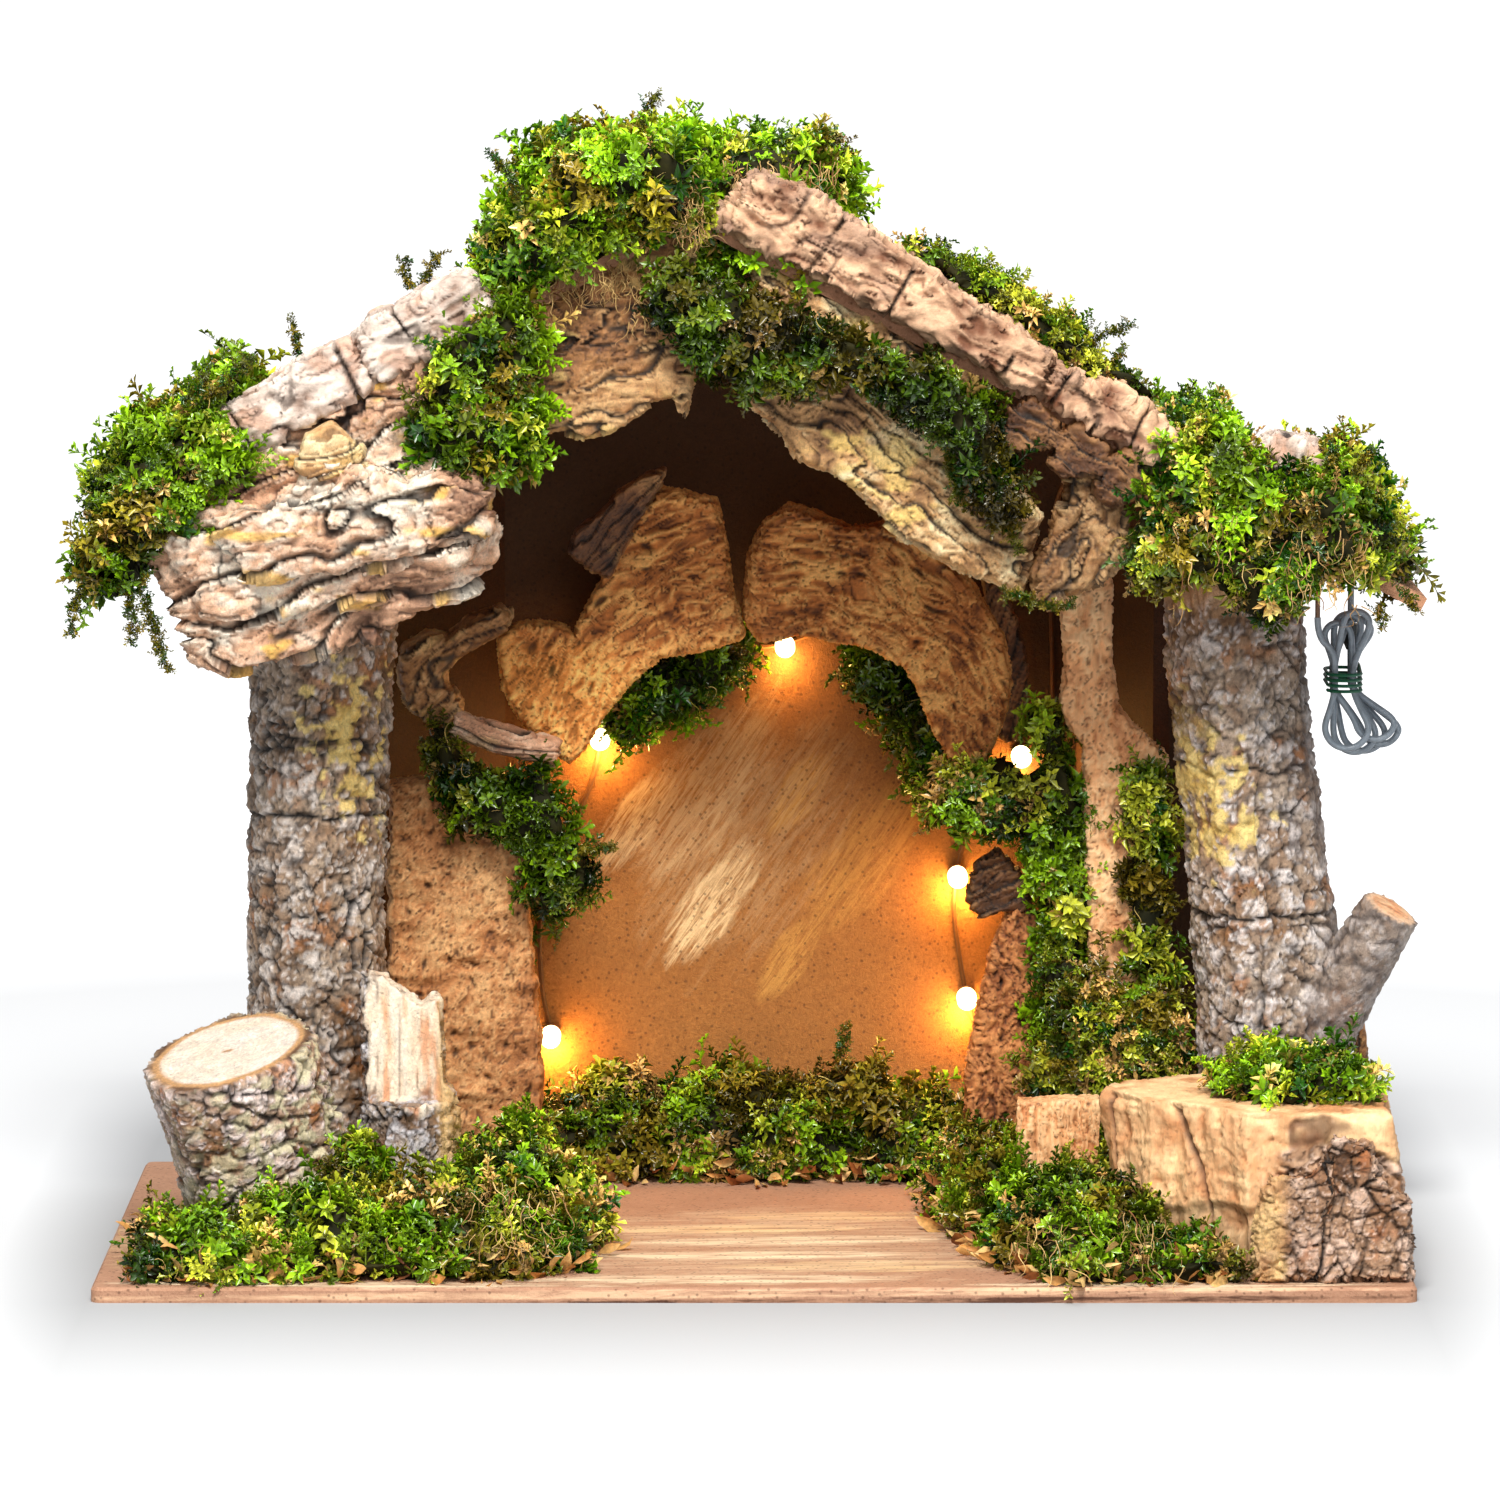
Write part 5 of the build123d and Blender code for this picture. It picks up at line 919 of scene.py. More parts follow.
def shoot(rng, leaves, stem, leaf, open_low, open_high, droop, width):
    """One moss shoot along +Z: a bent stalk with narrow curved leaves all round it.

    Its leaves stand out by open_low degrees at its foot and by open_high at its tip. Like the other
    templates it is its points in mm, its triangles and, for each point, how far up and out that is,
    from 0 to 1.
    """
    rise = np.linspace(0.0, 1.0, 4)
    bend = droop * rise**2
    centre = np.stack([0.6 * stem * bend, np.zeros(4), stem * rise * (1.0 - 0.25 * bend)], axis=1)
    points, faces = stalk(centre, 0.2 * (1.0 - 0.6 * rise))
    height = list(np.repeat(0.5 * rise, 3))
    golden = math.pi * (3.0 - math.sqrt(5.0))
    for k in range(leaves):
        up = 0.12 + 0.88 * (k + 0.5) / leaves
        root = np.array([np.interp(up, rise, centre[:, axis]) for axis in range(3)])
        turn = golden * k + rng.uniform(-0.3, 0.3)
        lean = math.radians(open_low + (open_high - open_low) * up + rng.uniform(-12.0, 12.0))
        out = np.array([math.cos(turn), math.sin(turn), 0.0])
        way = out * math.sin(lean) + np.array([0.0, 0.0, math.cos(lean)])
        across = np.array([-math.sin(turn), math.cos(turn), 0.0])
        size = leaf * (1.15 - 0.45 * up) * rng.uniform(0.75, 1.2)
        curl = rng.uniform(0.0, 0.6)
        half = root + way * 0.5 * size + np.array([0.0, 0.0, 0.12 * size])
        start = len(points)
        points += [root, half + across * width * size, half - across * width * size]
        points.append(root + way * size - np.array([0.0, 0.0, curl * size]))
        faces.append((start, start + 1, start + 3))
        faces.append((start, start + 3, start + 2))
        height += [0.5 * up, 0.35 + 0.5 * up, 0.35 + 0.5 * up, 0.5 + 0.5 * up]
    return np.array(points), np.array(faces), np.array(height)


def thread(rng, turns, sway):
    """A thin curly thread, 1 mm long along +Z, that is scaled to its length when it is planted."""
    rise = np.linspace(0.0, 1.0, 9)
    phase = rng.uniform(0.0, 2.0 * math.pi)
    centre = np.stack(
        [
            sway * np.sin(turns * 2.0 * math.pi * rise + phase) * rise,
            sway * np.cos(turns * 1.7 * math.pi * rise + phase) * rise,
            rise * (1.0 - 0.3 * rise),
        ],
        axis=1,
    )
    points, faces = stalk(centre, 0.018 * (1.2 - rise))
    return np.array(points), np.array(faces), np.repeat(rise, 3)


def dry_leaf(rng, width, curl):
    """A dry curled leaf or husk, 1 mm long along +Z, that is scaled to its length when it is planted."""
    points, faces, height = [], [], []
    for k, share in enumerate((0.05, 0.7, 1.0, 0.75, 0.08)):
        up = k / 4.0
        lift = curl * math.sin(2.4 * up) + rng.uniform(-0.04, 0.04)
        half = 0.5 * width * share * rng.uniform(0.8, 1.2)
        rim, keel = lift + 0.3 * half, lift - 0.25 * half
        points += [(-half, rim, up), (0.0, keel, up), (half, rim, up)]
        height += [0.8 * up, 0.3 + 0.6 * up, 0.8 * up + 0.2]
    for k in range(4):
        for side in (0, 1):
            a = 3 * k + side
            faces.append((a, a + 1, a + 4))
            faces.append((a, a + 4, a + 3))
    return np.array(points), np.array(faces), np.array(height)


shoot_rng = np.random.default_rng(11)
shoots = [shoot(shoot_rng, 13, 6.5, 3.8, 80.0, 35.0, droop, 0.19) for droop in (0.15, 0.5, 0.9)]
shoots += [shoot(shoot_rng, 12, 5.0, 4.4, 90.0, 30.0, droop, 0.17) for droop in (0.1, 0.6)]
shoots += [shoot(shoot_rng, 10, 6.0, 3.6, 80.0, 50.0, 0.4, 0.24)]
shoots += [shoot(shoot_rng, 18, 11.0, 3.2, 65.0, 40.0, droop, 0.18) for droop in (0.6, 1.1)]
threads = [
    thread(shoot_rng, turns, sway) for turns, sway in ((0.6, 0.16), (1.0, 0.12), (1.4, 0.14), (0.8, 0.24))
]
husks = [
    dry_leaf(shoot_rng, width, curl) for width, curl in ((0.22, 0.2), (0.35, 0.3), (0.5, 0.15), (0.14, 0.4))
]


# Moss
def framed(ways, rng):
    """For each growing way, two more directions square to it, turned at random about it."""
    spare = rng.normal(size=ways.shape)
    right = np.cross(ways, spare)
    right /= np.linalg.norm(right, axis=1)[:, None]
    return right, np.cross(ways, right)


def mesh_of(name, points, faces, colour, material):
    """A new mesh object from arrays of points in mm, triangles and point colours."""
    mesh = bpy.data.meshes.new(name)
    mesh.vertices.add(len(points))
    mesh.vertices.foreach_set("co", (points * MM).astype(np.float32).ravel())
    mesh.loops.add(faces.size)
    mesh.loops.foreach_set("vertex_index", faces.astype(np.int32).ravel())
    mesh.polygons.add(len(faces))
    mesh.polygons.foreach_set("loop_start", np.arange(0, faces.size, 3, dtype=np.int32))
    mesh.update(calc_edges=True)
    mesh.validate()
    tint(mesh, colour)
    mesh.materials.append(material)
    return link(bpy.data.objects.new(name, mesh))


def leaf_look(name, roughness, specular):
    """Moss and dry leaves: the mesh's own colours, lighter and darker in spots."""
    look = Look(name)
    shade = look.between(look.noise(1.2, 2.0), 0.3, 0.7, 0.75, 1.25)
    return look.finish(look.shaded_tint(shade), roughness, specular)


moss_look = leaf_look("moss_leaves", 0.28, 0.45)
bed_look = leaf_look("moss_bed", 0.8, 0.2)
litter_look = leaf_look("dry_leaves", 0.55, 0.35)

deep_green, bright_green = paint(34, 82, 6), paint(152, 196, 24)
lime, olive, straw = paint(216, 214, 62), paint(166, 138, 38), paint(232, 186, 104)


def moss_colour(centres, rng, dryness):
    """Colours for shoots in tufts round these centres: deep, bright and yellowed green, and straw."""
    patch = layered(centres, 14.0, 71, 3)
    dry = layered(centres, 12.0, 83, 3)
    tuft_tone = lattice(*np.floor(centres.T * 7.0).astype(np.int64), 91) - 0.5
    own = rng.normal(0.0, 0.16, len(centres))
    colour = mixed(deep_green, bright_green, 0.45 + 0.8 * patch + 0.9 * tuft_tone + own)
    colour = mixed(colour, lime, step(dry + tuft_tone + own, 0.45 - dryness, 1.05 - dryness) * 0.8)
    colour = mixed(colour, olive, step(-patch - dry - 0.6 * tuft_tone, 0.35, 0.9) * 0.75)
    dead = rng.random(len(centres)) < 0.02 + 1.6 * dryness * step(dry - 1.2 * tuft_tone, 0.25, 0.8)
    return np.where(dead[:, None], straw, colour)


def scattered(mesh, spacing, rng):
    """Random places on a mesh, one for each spacing by spacing mm of it, with their normals."""
    mesh.calc_loop_triangles()
    count = len(mesh.loop_triangles)
    corners = np.zeros(count * 3, np.int32)
    mesh.loop_triangles.foreach_get("vertices", corners)
    corners = corners.reshape(-1, 3)
    points = vectors(mesh.vertices) / MM
    a, b, c = points[corners[:, 0]], points[corners[:, 1]], points[corners[:, 2]]
    normal = np.cross(b - a, c - a)
    area = np.linalg.norm(normal, axis=1) / 2.0
    normal /= np.maximum(2.0 * area, 1e-9)[:, None]
    number = int(area.sum() / spacing**2)
    chosen = rng.choice(count, number, p=area / area.sum())
    u, v = rng.random(number), rng.random(number)
    u, v = np.where(u + v > 1.0, 1.0 - u, u), np.where(u + v > 1.0, 1.0 - v, v)
    places = a[chosen] + (b - a)[chosen] * u[:, None] + (c - a)[chosen] * v[:, None]
    return places, normal[chosen]


# Moss ends just before the wall's face, and just above what the stable stands on
wall_side, floor_side = wall_front - 0.5, 0.3


def plant(name, templates, roots, ways, scale, colour, rng, material, foot, head):
    """Copies of small templates that stand on the roots along the ways, as one mesh.

    Each template's colour runs from foot at its lowest point to head at its highest: painted shade low in the
    moss and painted light at the top.
    """
    ways = ways / np.linalg.norm(ways, axis=1)[:, None]
    right, front = framed(ways, rng)
    kinds = rng.integers(0, len(templates), len(roots))
    all_points, all_faces, all_colours, start = [], [], [], 0
    for kind, (points, faces, height) in enumerate(templates):
        own = np.flatnonzero(kinds == kind)
        if not len(own):
            continue
        local = points[None] * scale[own][:, None, None]
        grown = (
            roots[own][:, None]
            + right[own][:, None] * local[:, :, :1]
            + front[own][:, None] * local[:, :, 1:2]
            + ways[own][:, None] * local[:, :, 2:]
        )
        # Painted shade low in the moss and painted light at the tips
        shade = (foot + (head - foot) * height)[None, :, None]
        all_points.append(grown.reshape(-1, 3))
        all_colours.append((colour[own][:, None] * shade).reshape(-1, 3))
        index = start + len(points) * np.arange(len(own))[:, None, None] + faces[None]
        all_faces.append(index.reshape(-1, 3))
        start += len(points) * len(own)
    points, faces = np.concatenate(all_points), np.concatenate(all_faces)
    points[:, 1] = np.minimum(points[:, 1], wall_side)
    points[:, 2] = np.maximum(points[:, 2], floor_side)
    piece = mesh_of(name, points, faces, np.concatenate(all_colours), material)
    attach(piece, "root")


tuft_width, shoot_step = 8.0, 2.3


def tufted(roots, rng):
    """For each root, the middle of its tuft, the way from there in half widths, and how central it is."""
    number = max(4, int(len(roots) * (shoot_step / tuft_width) ** 2))
    middles = roots[rng.choice(len(roots), min(number, len(roots)), replace=False)]
    tree = kdtree.KDTree(len(middles))
    for k, middle in enumerate(middles):
        tree.insert(middle, k)
    tree.balance()
    centres = np.array([middles[tree.find(root)[1]] for root in roots])
    offset = (roots - centres) / (0.5 * tuft_width)
    central = np.clip(1.15 - np.linalg.norm(offset, axis=1), 0.0, 1.0)
    return centres, offset, central


def add_threads(node, roots, ways, share, rng):
    """Pale curly threads between the shoots, on a share of their roots."""
    some = rng.random(len(roots)) < share
    count = some.sum()
    if not count:
        return
    tone = mixed(paint(176, 168, 52), paint(236, 200, 124), rng.random(count))
    length = rng.uniform(7.0, 13.0, count)
    looser = ways[some] + rng.normal(0.0, 0.5, (count, 3))
    plant(f"{node}_threads", threads, roots[some], looser, length, tone, rng, litter_look, 0.7, 1.1)


def add_litter(node, roots, normals, share, rng):
    """Dry leaves that lie round the foot of the moss, from a share of its lowest roots."""
    low = (roots[:, 2] < board_top + 9.0) & (rng.random(len(roots)) < share)
    count = low.sum()
    outward = normals[low] * np.array([1.0, 1.0, 0.1])
    spots = roots[low] + outward * rng.uniform(0.5, 5.0, (count, 1))
    spots[:, 2] = np.maximum(spots[:, 2] - rng.uniform(0.0, 5.0, count), board_top + 0.4)
    lying = outward + rng.normal(0.0, 0.7, (count, 3))
    lying[:, 2] = rng.uniform(0.0, 0.8, count)
    tone = mixed(paint(196, 132, 64), paint(244, 208, 136), rng.random(count))
    tone = np.where((rng.random(count) < 0.2)[:, None], paint(140, 80, 36), tone)
    length = rng.uniform(4.0, 9.0, count)
    plant(f"{node}_litter", husks, spots, lying, length, tone, rng, litter_look, 0.7, 1.1)


def grow(
    node,
    seed,
    size=1.0,
    shade=1.0,
    dryness=0.0,
    sink=4.8,
    spacing=2.4,
    threaded=0.04,
    littered=0.0,
    shape=None,
):
    """Moss on a node: an uneven cushion in painted shade, tufts of shoots all over it, threads and dry
    leaves.

    The cushion lies about sink mm inside the node's solid, to leave room for the shoots, which stand
    about spacing mm apart. Threaded and littered are the shares of roots with a thread or a dry leaf.
    Shade scales the shoots' colours: below 1 it is painted shade, above 1 painted light.
    """
    rng = np.random.default_rng(seed)

    def cushion(points, normals):
        relief = -sink + 3.4 * layered(points, 11.0, seed, 3)
        tone = 0.5 + 0.5 * layered(points, 4.0, seed + 5, 2)
        # The cushion's near-black green is painted shade deep in the moss
        return relief, mixed(paint(8, 13, 2), paint(46, 42, 10), tone)

    bed = work(node, 2.0, cushion, bed_look, 2, shape)
    roots, normals = scattered(bed.data, spacing, rng)
    above = (normals[:, 2] > -0.85) & (roots[:, 2] > board_top + 0.2)
    keep = above & (roots[:, 1] < wall_front - 4.0) & clear_of_lamps(roots)
    roots, normals = roots[keep], normals[keep]
    centres, offset, central = tufted(roots, rng)
    flow = np.stack([noise(centres, 12.0, seed + k) for k in (11, 12, 13)], axis=1)
    ways = 0.8 * normals + 0.6 * offset + 0.6 * flow + rng.normal(0.0, 0.25, roots.shape)
    ways[:, 2] += 0.12
    roots = roots + normals * (1.8 * central - 0.8)[:, None]
    lush = 0.5 + 0.5 * noise(centres, 8.0, seed + 21)
    scale = size * (0.62 + 0.5 * lush + 0.4 * central) * rng.uniform(0.7, 1.2, len(roots))
    # Painted shade towards the edges of each tuft, between the tufts; shade scales it all as painted shade or
    # light
    colour = shade * moss_colour(centres, rng, dryness) * (0.4 + 0.85 * central)[:, None]
    plant(f"{node}_shoots", shoots, roots, ways, scale, colour, rng, moss_look, 0.2, 1.45)
    add_threads(node, roots, ways, threaded, rng)
    if littered:
        add_litter(node, roots, normals, littered, rng)


def mound(front_shares, rear_shares, front, rear):
    """Shapes a moss mound, whose heights across the stable are given as (x, share) pairs.

    The first shares hold in front of the depth front, the second ones behind the depth rear.
    """

    def shape(points):
        front_share = np.interp(points[:, 0], *zip(*front_shares))
        rear_share = np.interp(points[:, 0], *zip(*rear_shares))
        share = front_share + (rear_share - front_share) * step(points[:, 1], front, rear)
        uneven = 1.0 + 0.3 * noise(points, (15.0, 15.0, 200.0), 1450)
        lowered = points.copy()
        lowered[:, 2] = board_top + (points[:, 2] - board_top) * np.minimum(share * uneven, 1.15)
        return lowered

    return shape


def ridge_shape(points):
    """The ridge moss stays behind the bark on the right verge and dips a little at its highest."""
    shaped = points.copy()
    beside = step(points[:, 0], -20.0, -11.0)
    set_back = np.maximum(points[:, 1], -13.0)
    shaped[:, 1] += beside * (set_back - points[:, 1])
    shaped[:, 2] = np.minimum(points[:, 2], 304.0 + 1.6 * np.minimum(points[:, 0] + 58.0, 0.0))
    shaped[:, 2] -= 0.2 * np.maximum(shaped[:, 2] - 296.0, 0.0)
    return shaped


def gable_right_shape(points):
    """The moss under the right verge leaves the edge of the roof panel in sight."""
    shaped = points.copy()
    shaped[:, 2] = np.minimum(points[:, 2], 266.5 - 0.42 * (points[:, 0] + 15.0))
    return shaped


def eave_right_shape(points):
    """The moss on the right eave dips in front of the cork knob."""
    shaped = points.copy()
    dip = 207.0 + 40.0 * step(np.abs(points[:, 0] - 143.0), 9.0, 19.0)
    shaped[:, 2] = np.minimum(points[:, 2], dip)
    return shaped


back_front_shares = (
    (-84, 0.7), (-55, 0.5), (-34, 0.7), (-16, 0.5), (6, 0.75), (30, 0.6), (52, 0.5), (76, 0.7)
)
back_rear_shares = (
    (-84, 1.1), (-55, 0.75), (-34, 1.0), (-16, 0.75), (6, 1.05), (30, 0.85), (52, 0.7), (76, 1.0)
)
left_front_shares = (
    (-168, 0.55), (-150, 0.6), (-130, 0.7), (-112, 1.0), (-98, 0.75), (-76, 0.8), (-56, 0.75), (-40, 0.45)
)
left_rear_shares = (
    (-168, 0.2), (-124, 0.25), (-113, 1.0), (-105, 0.9), (-98, 0.3), (-82, 0.3), (-74, 1.1), (-40, 0.8)
)
right_front_shares = ((47, 0.5), (60, 0.8), (84, 0.9), (100, 0.75), (115, 0.5), (133, 0.3))
right_rear_shares = ((47, 0.6), (62, 0.9), (72, 0.6), (94, 0.6), (104, 1.1), (133, 1.1))
back_mound = mound(back_front_shares, back_rear_shares, 60.0, 76.0)
left_mound = mound(left_front_shares, left_rear_shares, -60.0, -44.0)
right_mound = mound(right_front_shares, right_rear_shares, -58.0, -40.0)

grow("moss_ridge", 1200, shade=1.4, dryness=0.08, sink=6.2, spacing=2.6, shape=ridge_shape)
grow("moss_verge_right", 1205, size=0.65, dryness=0.3, sink=5.0)
grow("moss_eave_left", 1210, size=0.92, sink=6.0)
grow(
    "moss_eave_right",
    1220,
    size=0.92,
    shade=1.08,
    dryness=0.15,
    sink=6.2,
    threaded=0.07,
    shape=eave_right_shape,
)
grow("moss_gable_left", 1230, size=0.92, shade=0.92, sink=5.2)
grow("moss_gable_right", 1240, size=0.85, shade=0.36, shape=gable_right_shape)
grow("moss_inner_left", 1250, size=0.9, shade=0.46, sink=3.9)
grow("moss_inner_right", 1260, size=0.9, shade=0.76, dryness=0.2, sink=3.9)
grow("moss_behind_arch", 1270, shade=0.6, sink=3.9)
grow("moss_back", 1280, size=0.92, shade=0.7, dryness=0.4, littered=0.6, shape=back_mound)
grow(
    "moss_base_left",
    1290,
    size=0.9,
    shade=1.05,
    dryness=0.28,
    threaded=0.1,
    littered=0.45,
    shape=left_mound,
)
grow(
    "moss_base_right",
    1300,
    size=0.88,
    shade=0.76,
    dryness=0.32,
    threaded=0.1,
    littered=0.5,
    shape=right_mound,
)
grow("moss_block", 1310, size=0.88, shade=1.4, dryness=0.12, sink=4.2)

# Strands that stand out from the moss, each from where it is seen to grow to its tip, and its depth
left_verge, right_verge, roof_back = -36.0, -34.0, -10.0
strands = [
    ((140, 575), (168, 668), left_verge),
    ((120, 580), (130, 640), left_verge),
    ((92, 575), (72, 632), left_verge),
    ((205, 400), (248, 358), left_verge),
    ((180, 405), (205, 372), left_verge),
    ((300, 360), (296, 326), roof_back),
    ((414, 292), (404, 262), roof_back),
    ((424, 285), (436, 256), roof_back),
    ((520, 200), (492, 158), left_verge),
    ((640, 130), (658, 96), roof_back),
    ((780, 170), (826, 136), roof_back),
    ((800, 185), (844, 180), roof_back),
    ((925, 262), (945, 246), roof_back),
    ((1060, 340), (1084, 330), roof_back),
    ((1078, 358), (1128, 326), roof_back),
    ((1110, 374), (1124, 350), roof_back),
    ((1330, 470), (1332, 446), right_verge),
    ((1352, 480), (1372, 452), right_verge),
    ((1400, 585), (1416, 608), right_verge),
    ((1380, 600), (1384, 624), right_verge),
    ((985, 440), (1020, 548), right_verge),
    ((950, 430), (965, 500), right_verge),
    ((1000, 430), (1005, 520), right_verge),
    ((1000, 590), (1070, 606), right_verge),
    ((840, 1060), (846, 1028), 62.0),
    ((560, 860), (610, 848), 36.0),
]


def grow_strands():
    """Feathery strands: small shoots all along gently bent lines."""
    rng = np.random.default_rng(1400)
    roots, ways = [], []
    for (px0, py0), (px1, py1), y in strands:
        start, end = seen_at(px0, py0, y), seen_at(px1, py1, y)
        line = end - start
        length = np.linalg.norm(line)
        bow_way = np.cross(line / length, (0.0, 1.0, 0.0)) * rng.uniform(-0.12, 0.12) * length
        for t in np.arange(0.0, 1.0, 0.35 / length):
            roots.append(start + t * line + math.sin(math.pi * t) * bow_way)
            ways.append(0.8 * line / length + rng.normal(0.0, 0.6, 3))
    roots, ways = np.array(roots), np.array(ways)
    colour = mixed(deep_green, olive, 0.3 + rng.normal(0.0, 0.3, len(roots)))
    scale = rng.uniform(0.3, 0.5, len(roots))
    plant("moss_strands", shoots, roots, ways, scale, colour, rng, moss_look, 0.4, 1.2)


# Loose tufts: where their middle is seen (x, y), half their width and height there, their nearest and
# farthest depth, and the number of shoots
tuft_places = [
    (1062, 1078, 36, 36, 26.0, 36.0, 160),
    (1098, 1030, 44, 62, 26.0, 36.0, 340),
    (1150, 1045, 46, 66, 26.0, 36.0, 380),
    (1120, 1085, 90, 26, 24.0, 36.0, 260),
    (735, 158, 34, 10, -10.0, 20.0, 160),
    (805, 158, 34, 16, -8.0, 10.0, 140),
    (540, 880, 18, 60, 84.0, 92.0, 150),
]


def grow_tufts():
    """Loose tufts where no cushion lies: up the foot of the branch bark and behind the verge bark."""
    rng = np.random.default_rng(1410)
    roots = []
    for px, py, half_wide, half_high, near, far, count in tuft_places:
        for across, up in rng.normal(0.0, 0.45, (count, 2)):
            roots.append(seen_at(px + half_wide * across, py + half_high * up, rng.uniform(near, far)))
    roots = np.array(roots)
    roots = roots[clear_of_lamps(roots)]
    centres, offset, central = tufted(roots, rng)
    ways = np.array([0.0, -0.7, 0.5]) + 0.6 * offset + rng.normal(0.0, 0.4, roots.shape)
    # Painted shade towards the edges of each tuft
    colour = moss_colour(centres, rng, 0.4) * (0.45 + 0.75 * central)[:, None]
    scale = rng.uniform(0.6, 1.0, len(roots))
    plant("loose_tufts", shoots, roots, ways, scale, colour, rng, moss_look, 0.3, 1.4)


# Hanging fibres: where their middle is seen (x, y), half their width and height there, their depth and
# their number
fibre_places = [
    (610, 280, 60, 18, -28.0, 150),
    (660, 290, 36, 34, -28.0, 80),
    (684, 205, 18, 34, -36.0, 110),
    (780, 168, 60, 8, -20.0, 60),
    (1240, 560, 70, 50, -44.0, 50),
    (1330, 570, 50, 40, -44.0, 40),
    (520, 1215, 60, 40, -98.0, 60),
    (1100, 1240, 90, 30, -98.0, 60),
]


def hang_fibres():
    """Dry brown and straw-coloured fibres that hang out of the moss."""
    rng = np.random.default_rng(1420)
    roots = []
    for px, py, half_wide, half_high, y, count in fibre_places:
        for across, up in rng.uniform(-1.0, 1.0, (count, 2)):
            roots.append(seen_at(px + half_wide * across, py + half_high * up, y))
    roots = np.array(roots)
    ways = np.array([0.0, -0.3, -0.8]) + rng.normal(0.0, 0.5, roots.shape)
    tone = mixed(paint(132, 78, 38), paint(242, 204, 132), rng.random(len(roots)))
    length = rng.uniform(5.0, 12.0, len(roots))
    plant("loose_fibres", threads, roots, ways, length, tone, rng, litter_look, 0.8, 1.1)


grow_strands()
grow_tufts()
hang_fibres()


# Lights and wires
def glowing(name, colour, strength):
    """Glass that gives light."""
    look = Look(name)
    look.shader.inputs["Emission Color"].default_value = rgba(colour)
    look.shader.inputs["Emission Strength"].default_value = strength
    return look.finish(colour, 0.3)


def plastic_look(name, colour, roughness):
    """Plastic that is a little worn."""
    look = Look(name)
    wear = look.noise(2.0, 3.0)
    tone = look.mix(look.between(wear, 0.3, 0.7), 0.8 * colour, np.minimum(1.15 * colour, 1.0))
    look.bump(wear, 0.05)
    return look.finish(tone, roughness, 0.5)


bulb_look = glowing("lit_bulb", (1.0, 0.72, 0.32), 9.0)
green_wire = plastic_look("green_wire", paint(18, 92, 66), 0.35)
string_wire = plastic_look("string_wire", paint(112, 74, 42), 0.45)
grey_wire = plastic_look("grey_wire", paint(140, 152, 164), 0.3)
dark_plastic = plastic_look("dark_plastic", paint(38, 44, 46), 0.35)
dress("light_string", string_wire)
dress("lead_tie", green_wire)
dress("lead_connector", dark_plastic)
dress("lead_tail", grey_wire)
bulb_growth = 1.35
bulb_power = 0.055


def place_light(number):
    """A lit bulb, grown about its middle by its glow, with a warm lamp between it and the wall."""
    node = f"light_bulb_{number}"
    low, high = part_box(node)
    middle = (low + high) / 2
    bulb = link(bpy.data.objects.new(f"lit_bulb_{number}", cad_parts[node].data.copy()))
    bulb.data.materials.clear()
    bulb.data.materials.append(bulb_look)
    for vertex in bulb.data.vertices:
        vertex.co = middle + bulb_growth * (vertex.co - middle)
    stand_for(bulb, node)
    lamp_data = bpy.data.lights.new(f"bulb_light_{number}", "POINT")
    lamp_data.energy = bulb_power
    lamp_data.color = (1.0, 0.5, 0.12)
    lamp_data.shadow_soft_size = 0.004
    lamp = link(bpy.data.objects.new(f"bulb_light_{number}", lamp_data))
    lamp.location = (middle.x, high.y + 0.0045, middle.z - 0.005)


for number in range(1, 7):
    place_light(number)

# Lead: one spline from the string's end down into the hank and up to the connector
hank_x, hank_front, hank_z, hank_step, hank_waist, hank_grip = 162.5, 14.0, 153.0, 2.4, 2.6, 3.5
hank_lower_loops = ((0.8, 5.8, 19.0), (8.8, 5.2, 16.8), (3.4, 5.6, 20.6), (10.6, 5.0, 18.8), (6.2, 5.8, 20.8))
hank_upper_loops = ((3.4, 3.6, 18.4), (-1.6, 3.6, 15.0), (1.4, 3.6, 17.2), (4.4, 3.6, 15.6))
connector_y, connector_z = 27.3, 159.8
bulge = 1.09


def bow(middle_x, y, middle_z, radius, angles):
    """Control points round the outside of a loop's end."""
    places = []
    for degrees in angles:
        angle = math.radians(degrees)
        x = middle_x + bulge * radius * math.cos(angle)
        places.append((x, y, middle_z + bulge * radius * math.sin(angle)))
    return places


def hank_turn(turn):
    """The points of one turn, from the left of the waist, round below and back round above."""
    front = hank_front + turn * hank_step
    back = front + hank_step
    lean, radius, reach = hank_lower_loops[turn]
    low_z = hank_z - reach + radius
    half_z = (hank_z - hank_grip + low_z) / 2
    below = [(hank_x - hank_waist, front, hank_z), (hank_x - hank_waist, front, hank_z - hank_grip)]
    below.append((hank_x + (lean - radius - hank_waist) / 2, front, half_z))
    below += bow(hank_x + lean, front, low_z, radius, (180, 216, 252, 288, 324, 360))
    below.append((hank_x + (lean + radius + hank_waist) / 2, front + 0.5 * hank_step, half_z))
    below.append((hank_x + hank_waist, back, hank_z - hank_grip))
    below.append((hank_x + hank_waist, back, hank_z))
    if turn == len(hank_lower_loops) - 1:
        return below
    lean, radius, reach = hank_upper_loops[turn]
    high_z = hank_z + reach - radius
    half_z = (hank_z + hank_grip + high_z) / 2
    above = [(hank_x + hank_waist, back, hank_z + hank_grip)]
    above.append((hank_x + (lean + radius + hank_waist) / 2, back, half_z))
    above += bow(hank_x + lean, back, high_z, radius, (0, 45, 90, 135, 180))
    above.append((hank_x + (lean - radius - hank_waist) / 2, back, half_z))
    above.append((hank_x - hank_waist, back, hank_z + hank_grip))
    return below + above


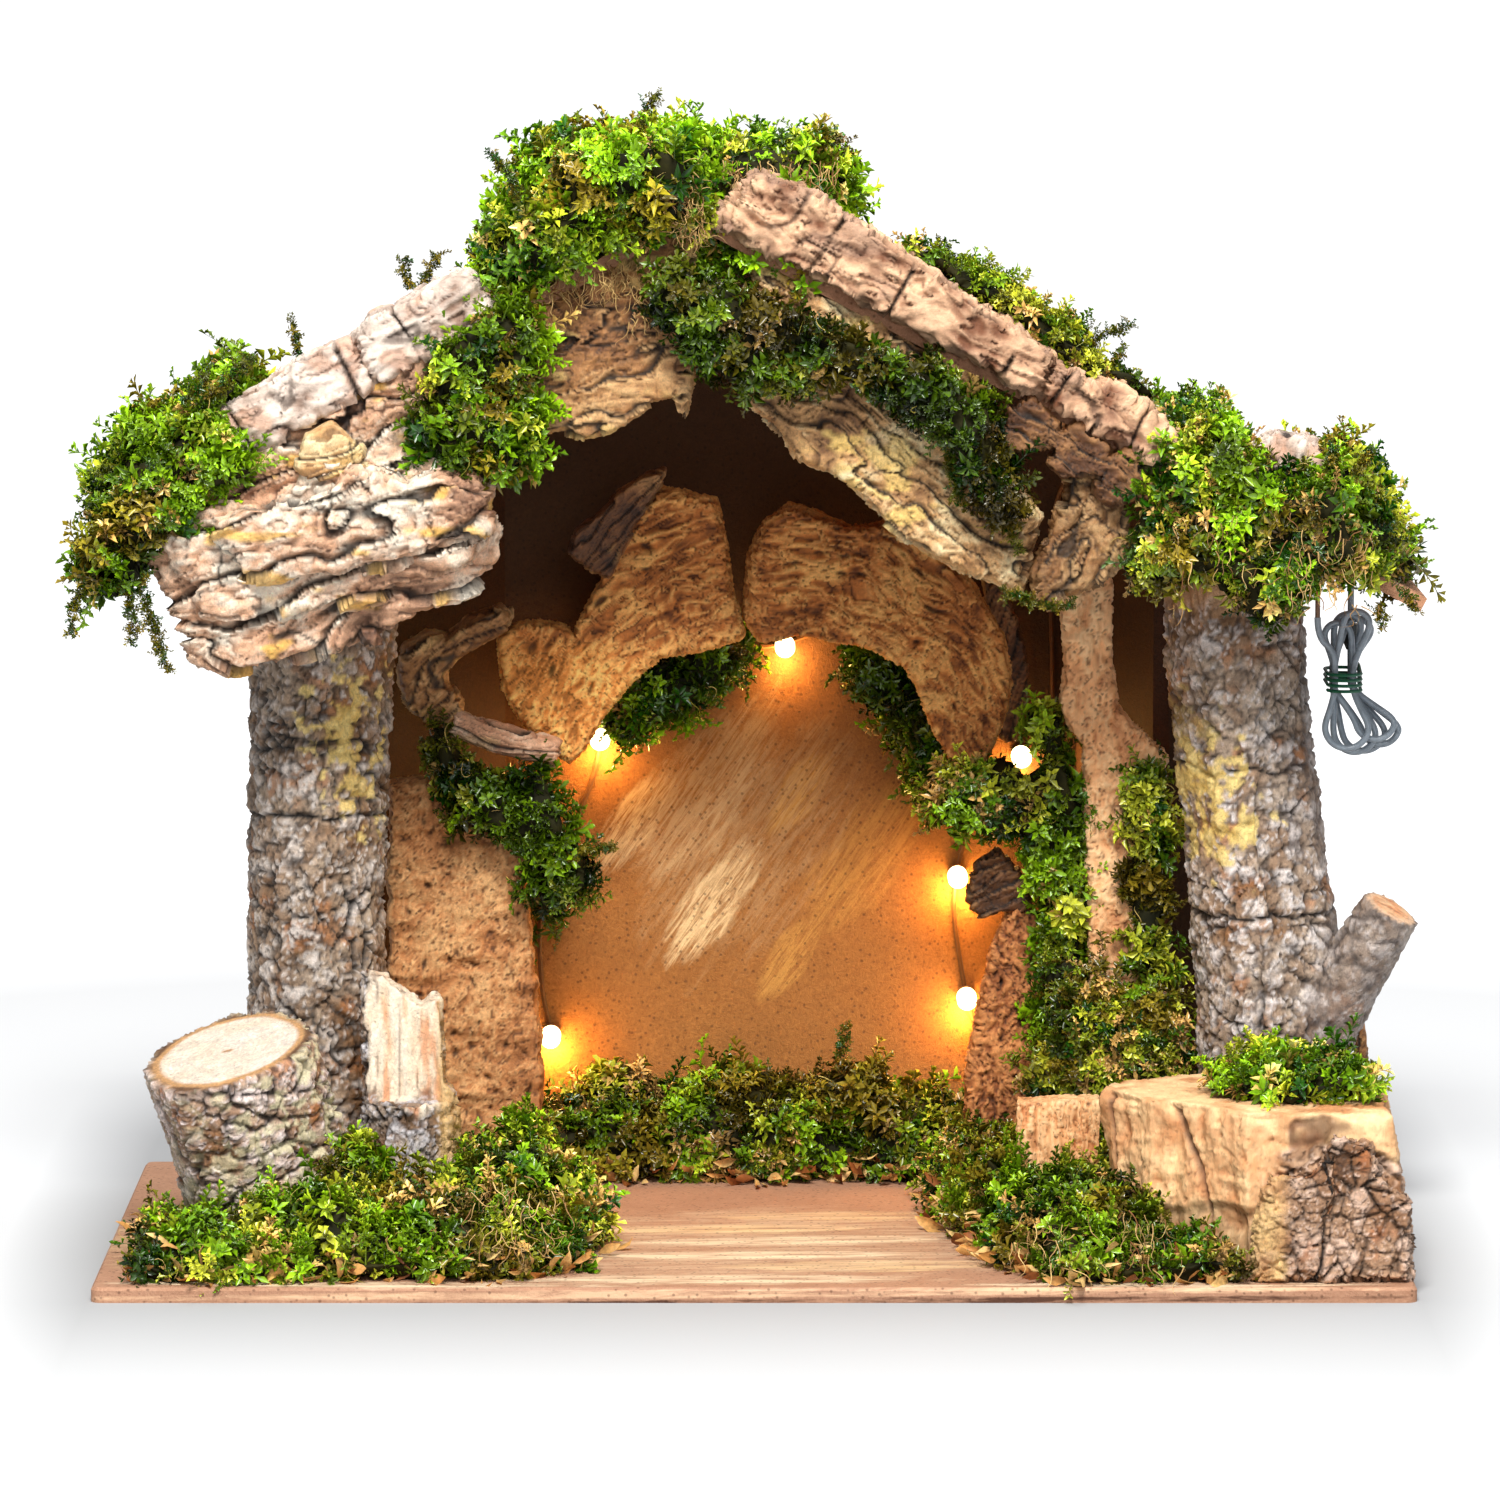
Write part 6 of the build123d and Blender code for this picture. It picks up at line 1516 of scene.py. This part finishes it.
lead_points = [(155.0, hank_front, 170.0), (155.0, hank_front, 164.5)]
lead_points.append((hank_x - hank_waist, hank_front, 160.5))
for turn in range(len(hank_lower_loops)):
    lead_points += hank_turn(turn)
lead_points.append((hank_x + hank_waist, connector_y, 157.6))
lead_points.append((hank_x + hank_waist, connector_y, connector_z))

lead_data = bpy.data.curves.new("lead", "CURVE")
lead_data.dimensions = "3D"
lead_data.bevel_depth = 0.9 * MM
lead_data.bevel_resolution = 4
spline = lead_data.splines.new("NURBS")
spline.points.add(len(lead_points) - 1)
for point, place in zip(spline.points, lead_points):
    point.co = (*(MM * value for value in place), 1.0)
spline.order_u = 3
spline.use_endpoint_u = True
spline.resolution_u = 6
lead_data.materials.append(grey_wire)
lead = link(bpy.data.objects.new("lead", lead_data))
stand_for(lead, "lead_cord", "lead_hank")


# Floor and light
shadow_x, shadow_y, white_reach = (176.0, 206.0), (100.0, 290.0), (300.0, 800.0)
beside_glow = 0.42


def floor_material():
    """A pale floor that shows white to the camera and keeps the soft shadow of the stable.

    The shadow is kept whole up to the first distances from the middle in shadow_x and shadow_y, and
    fades up to the second ones. The floor whitens from the first distance in white_reach to the second.
    """
    look = Look("floor")
    look.finish((0.42, 0.43, 0.445), 0.9, 0.1)
    look.shader.inputs["Emission Color"].default_value = (1.0, 1.0, 1.0, 1.0)
    rays = look.nodes.new("ShaderNodeLightPath")
    seen = look.math("MAXIMUM", rays.outputs["Is Camera Ray"], rays.outputs["Is Glossy Ray"])
    seen = look.math("MAXIMUM", seen, rays.outputs["Is Transmission Ray"])
    x, y, _ = look.axes(look.place)
    beside = look.between(look.math("ABSOLUTE", x), *shadow_x, 1.0, 0.0)
    before = look.between(look.math("ABSOLUTE", y), *shadow_y, 1.0, 0.0)
    near_glow = look.between(look.product(beside, before), 0.0, 1.0, beside_glow, 0.0)
    distance = look.added("VectorMath", {0: look.place}, "Value", operation="LENGTH")
    glow = look.math("MAXIMUM", near_glow, look.between(distance, *white_reach))
    look.feed(look.shader, "Emission Strength", look.product(seen, glow))
    return look.material


floor_mesh = bpy.data.meshes.new("floor")
half = 30.0
corners = [(-half, -half, 0.0), (half, -half, 0.0), (half, half, 0.0), (-half, half, 0.0)]
floor_mesh.from_pydata(corners, [], [(0, 1, 2, 3)])
floor_mesh.materials.append(floor_material())
floor = link(bpy.data.objects.new("floor", floor_mesh))

world = bpy.data.worlds.new("world")
scene.world = world
world.use_nodes = True
background = world.node_tree.nodes["Background"]
background.inputs["Color"].default_value = (1.0, 1.0, 1.0, 1.0)
rays = world.node_tree.nodes.new("ShaderNodeLightPath")
shown = world.node_tree.nodes.new("ShaderNodeMapRange")
world.node_tree.links.new(rays.outputs["Is Camera Ray"], shown.inputs["Value"])
shown.inputs["To Min"].default_value = 0.3
shown.inputs["To Max"].default_value = 1.0
world.node_tree.links.new(shown.outputs["Result"], background.inputs["Strength"])


def soft_light(name, place, target, size, energy, colour=(1.0, 1.0, 1.0)):
    """A square area light that faces a target point."""
    data = bpy.data.lights.new(name, "AREA")
    data.shape = "SQUARE"
    data.size = size
    data.energy = energy
    data.color = colour
    lamp = link(bpy.data.objects.new(name, data))
    lamp.location = place
    lamp.rotation_euler = (Vector(target) - Vector(place)).to_track_quat("-Z", "Y").to_euler()


soft_light("key", (-0.06, -1.2, 1.42), (0.0, 0.0, 0.12), 0.5, 44.0, (1.0, 0.98, 0.94))
soft_light("fill", (0.3, -2.0, 0.55), (0.0, 0.0, 0.12), 0.7, 6.0)
soft_light("top", (0.1, 0.3, 1.6), (0.0, 0.0, 0.1), 0.8, 12.0)
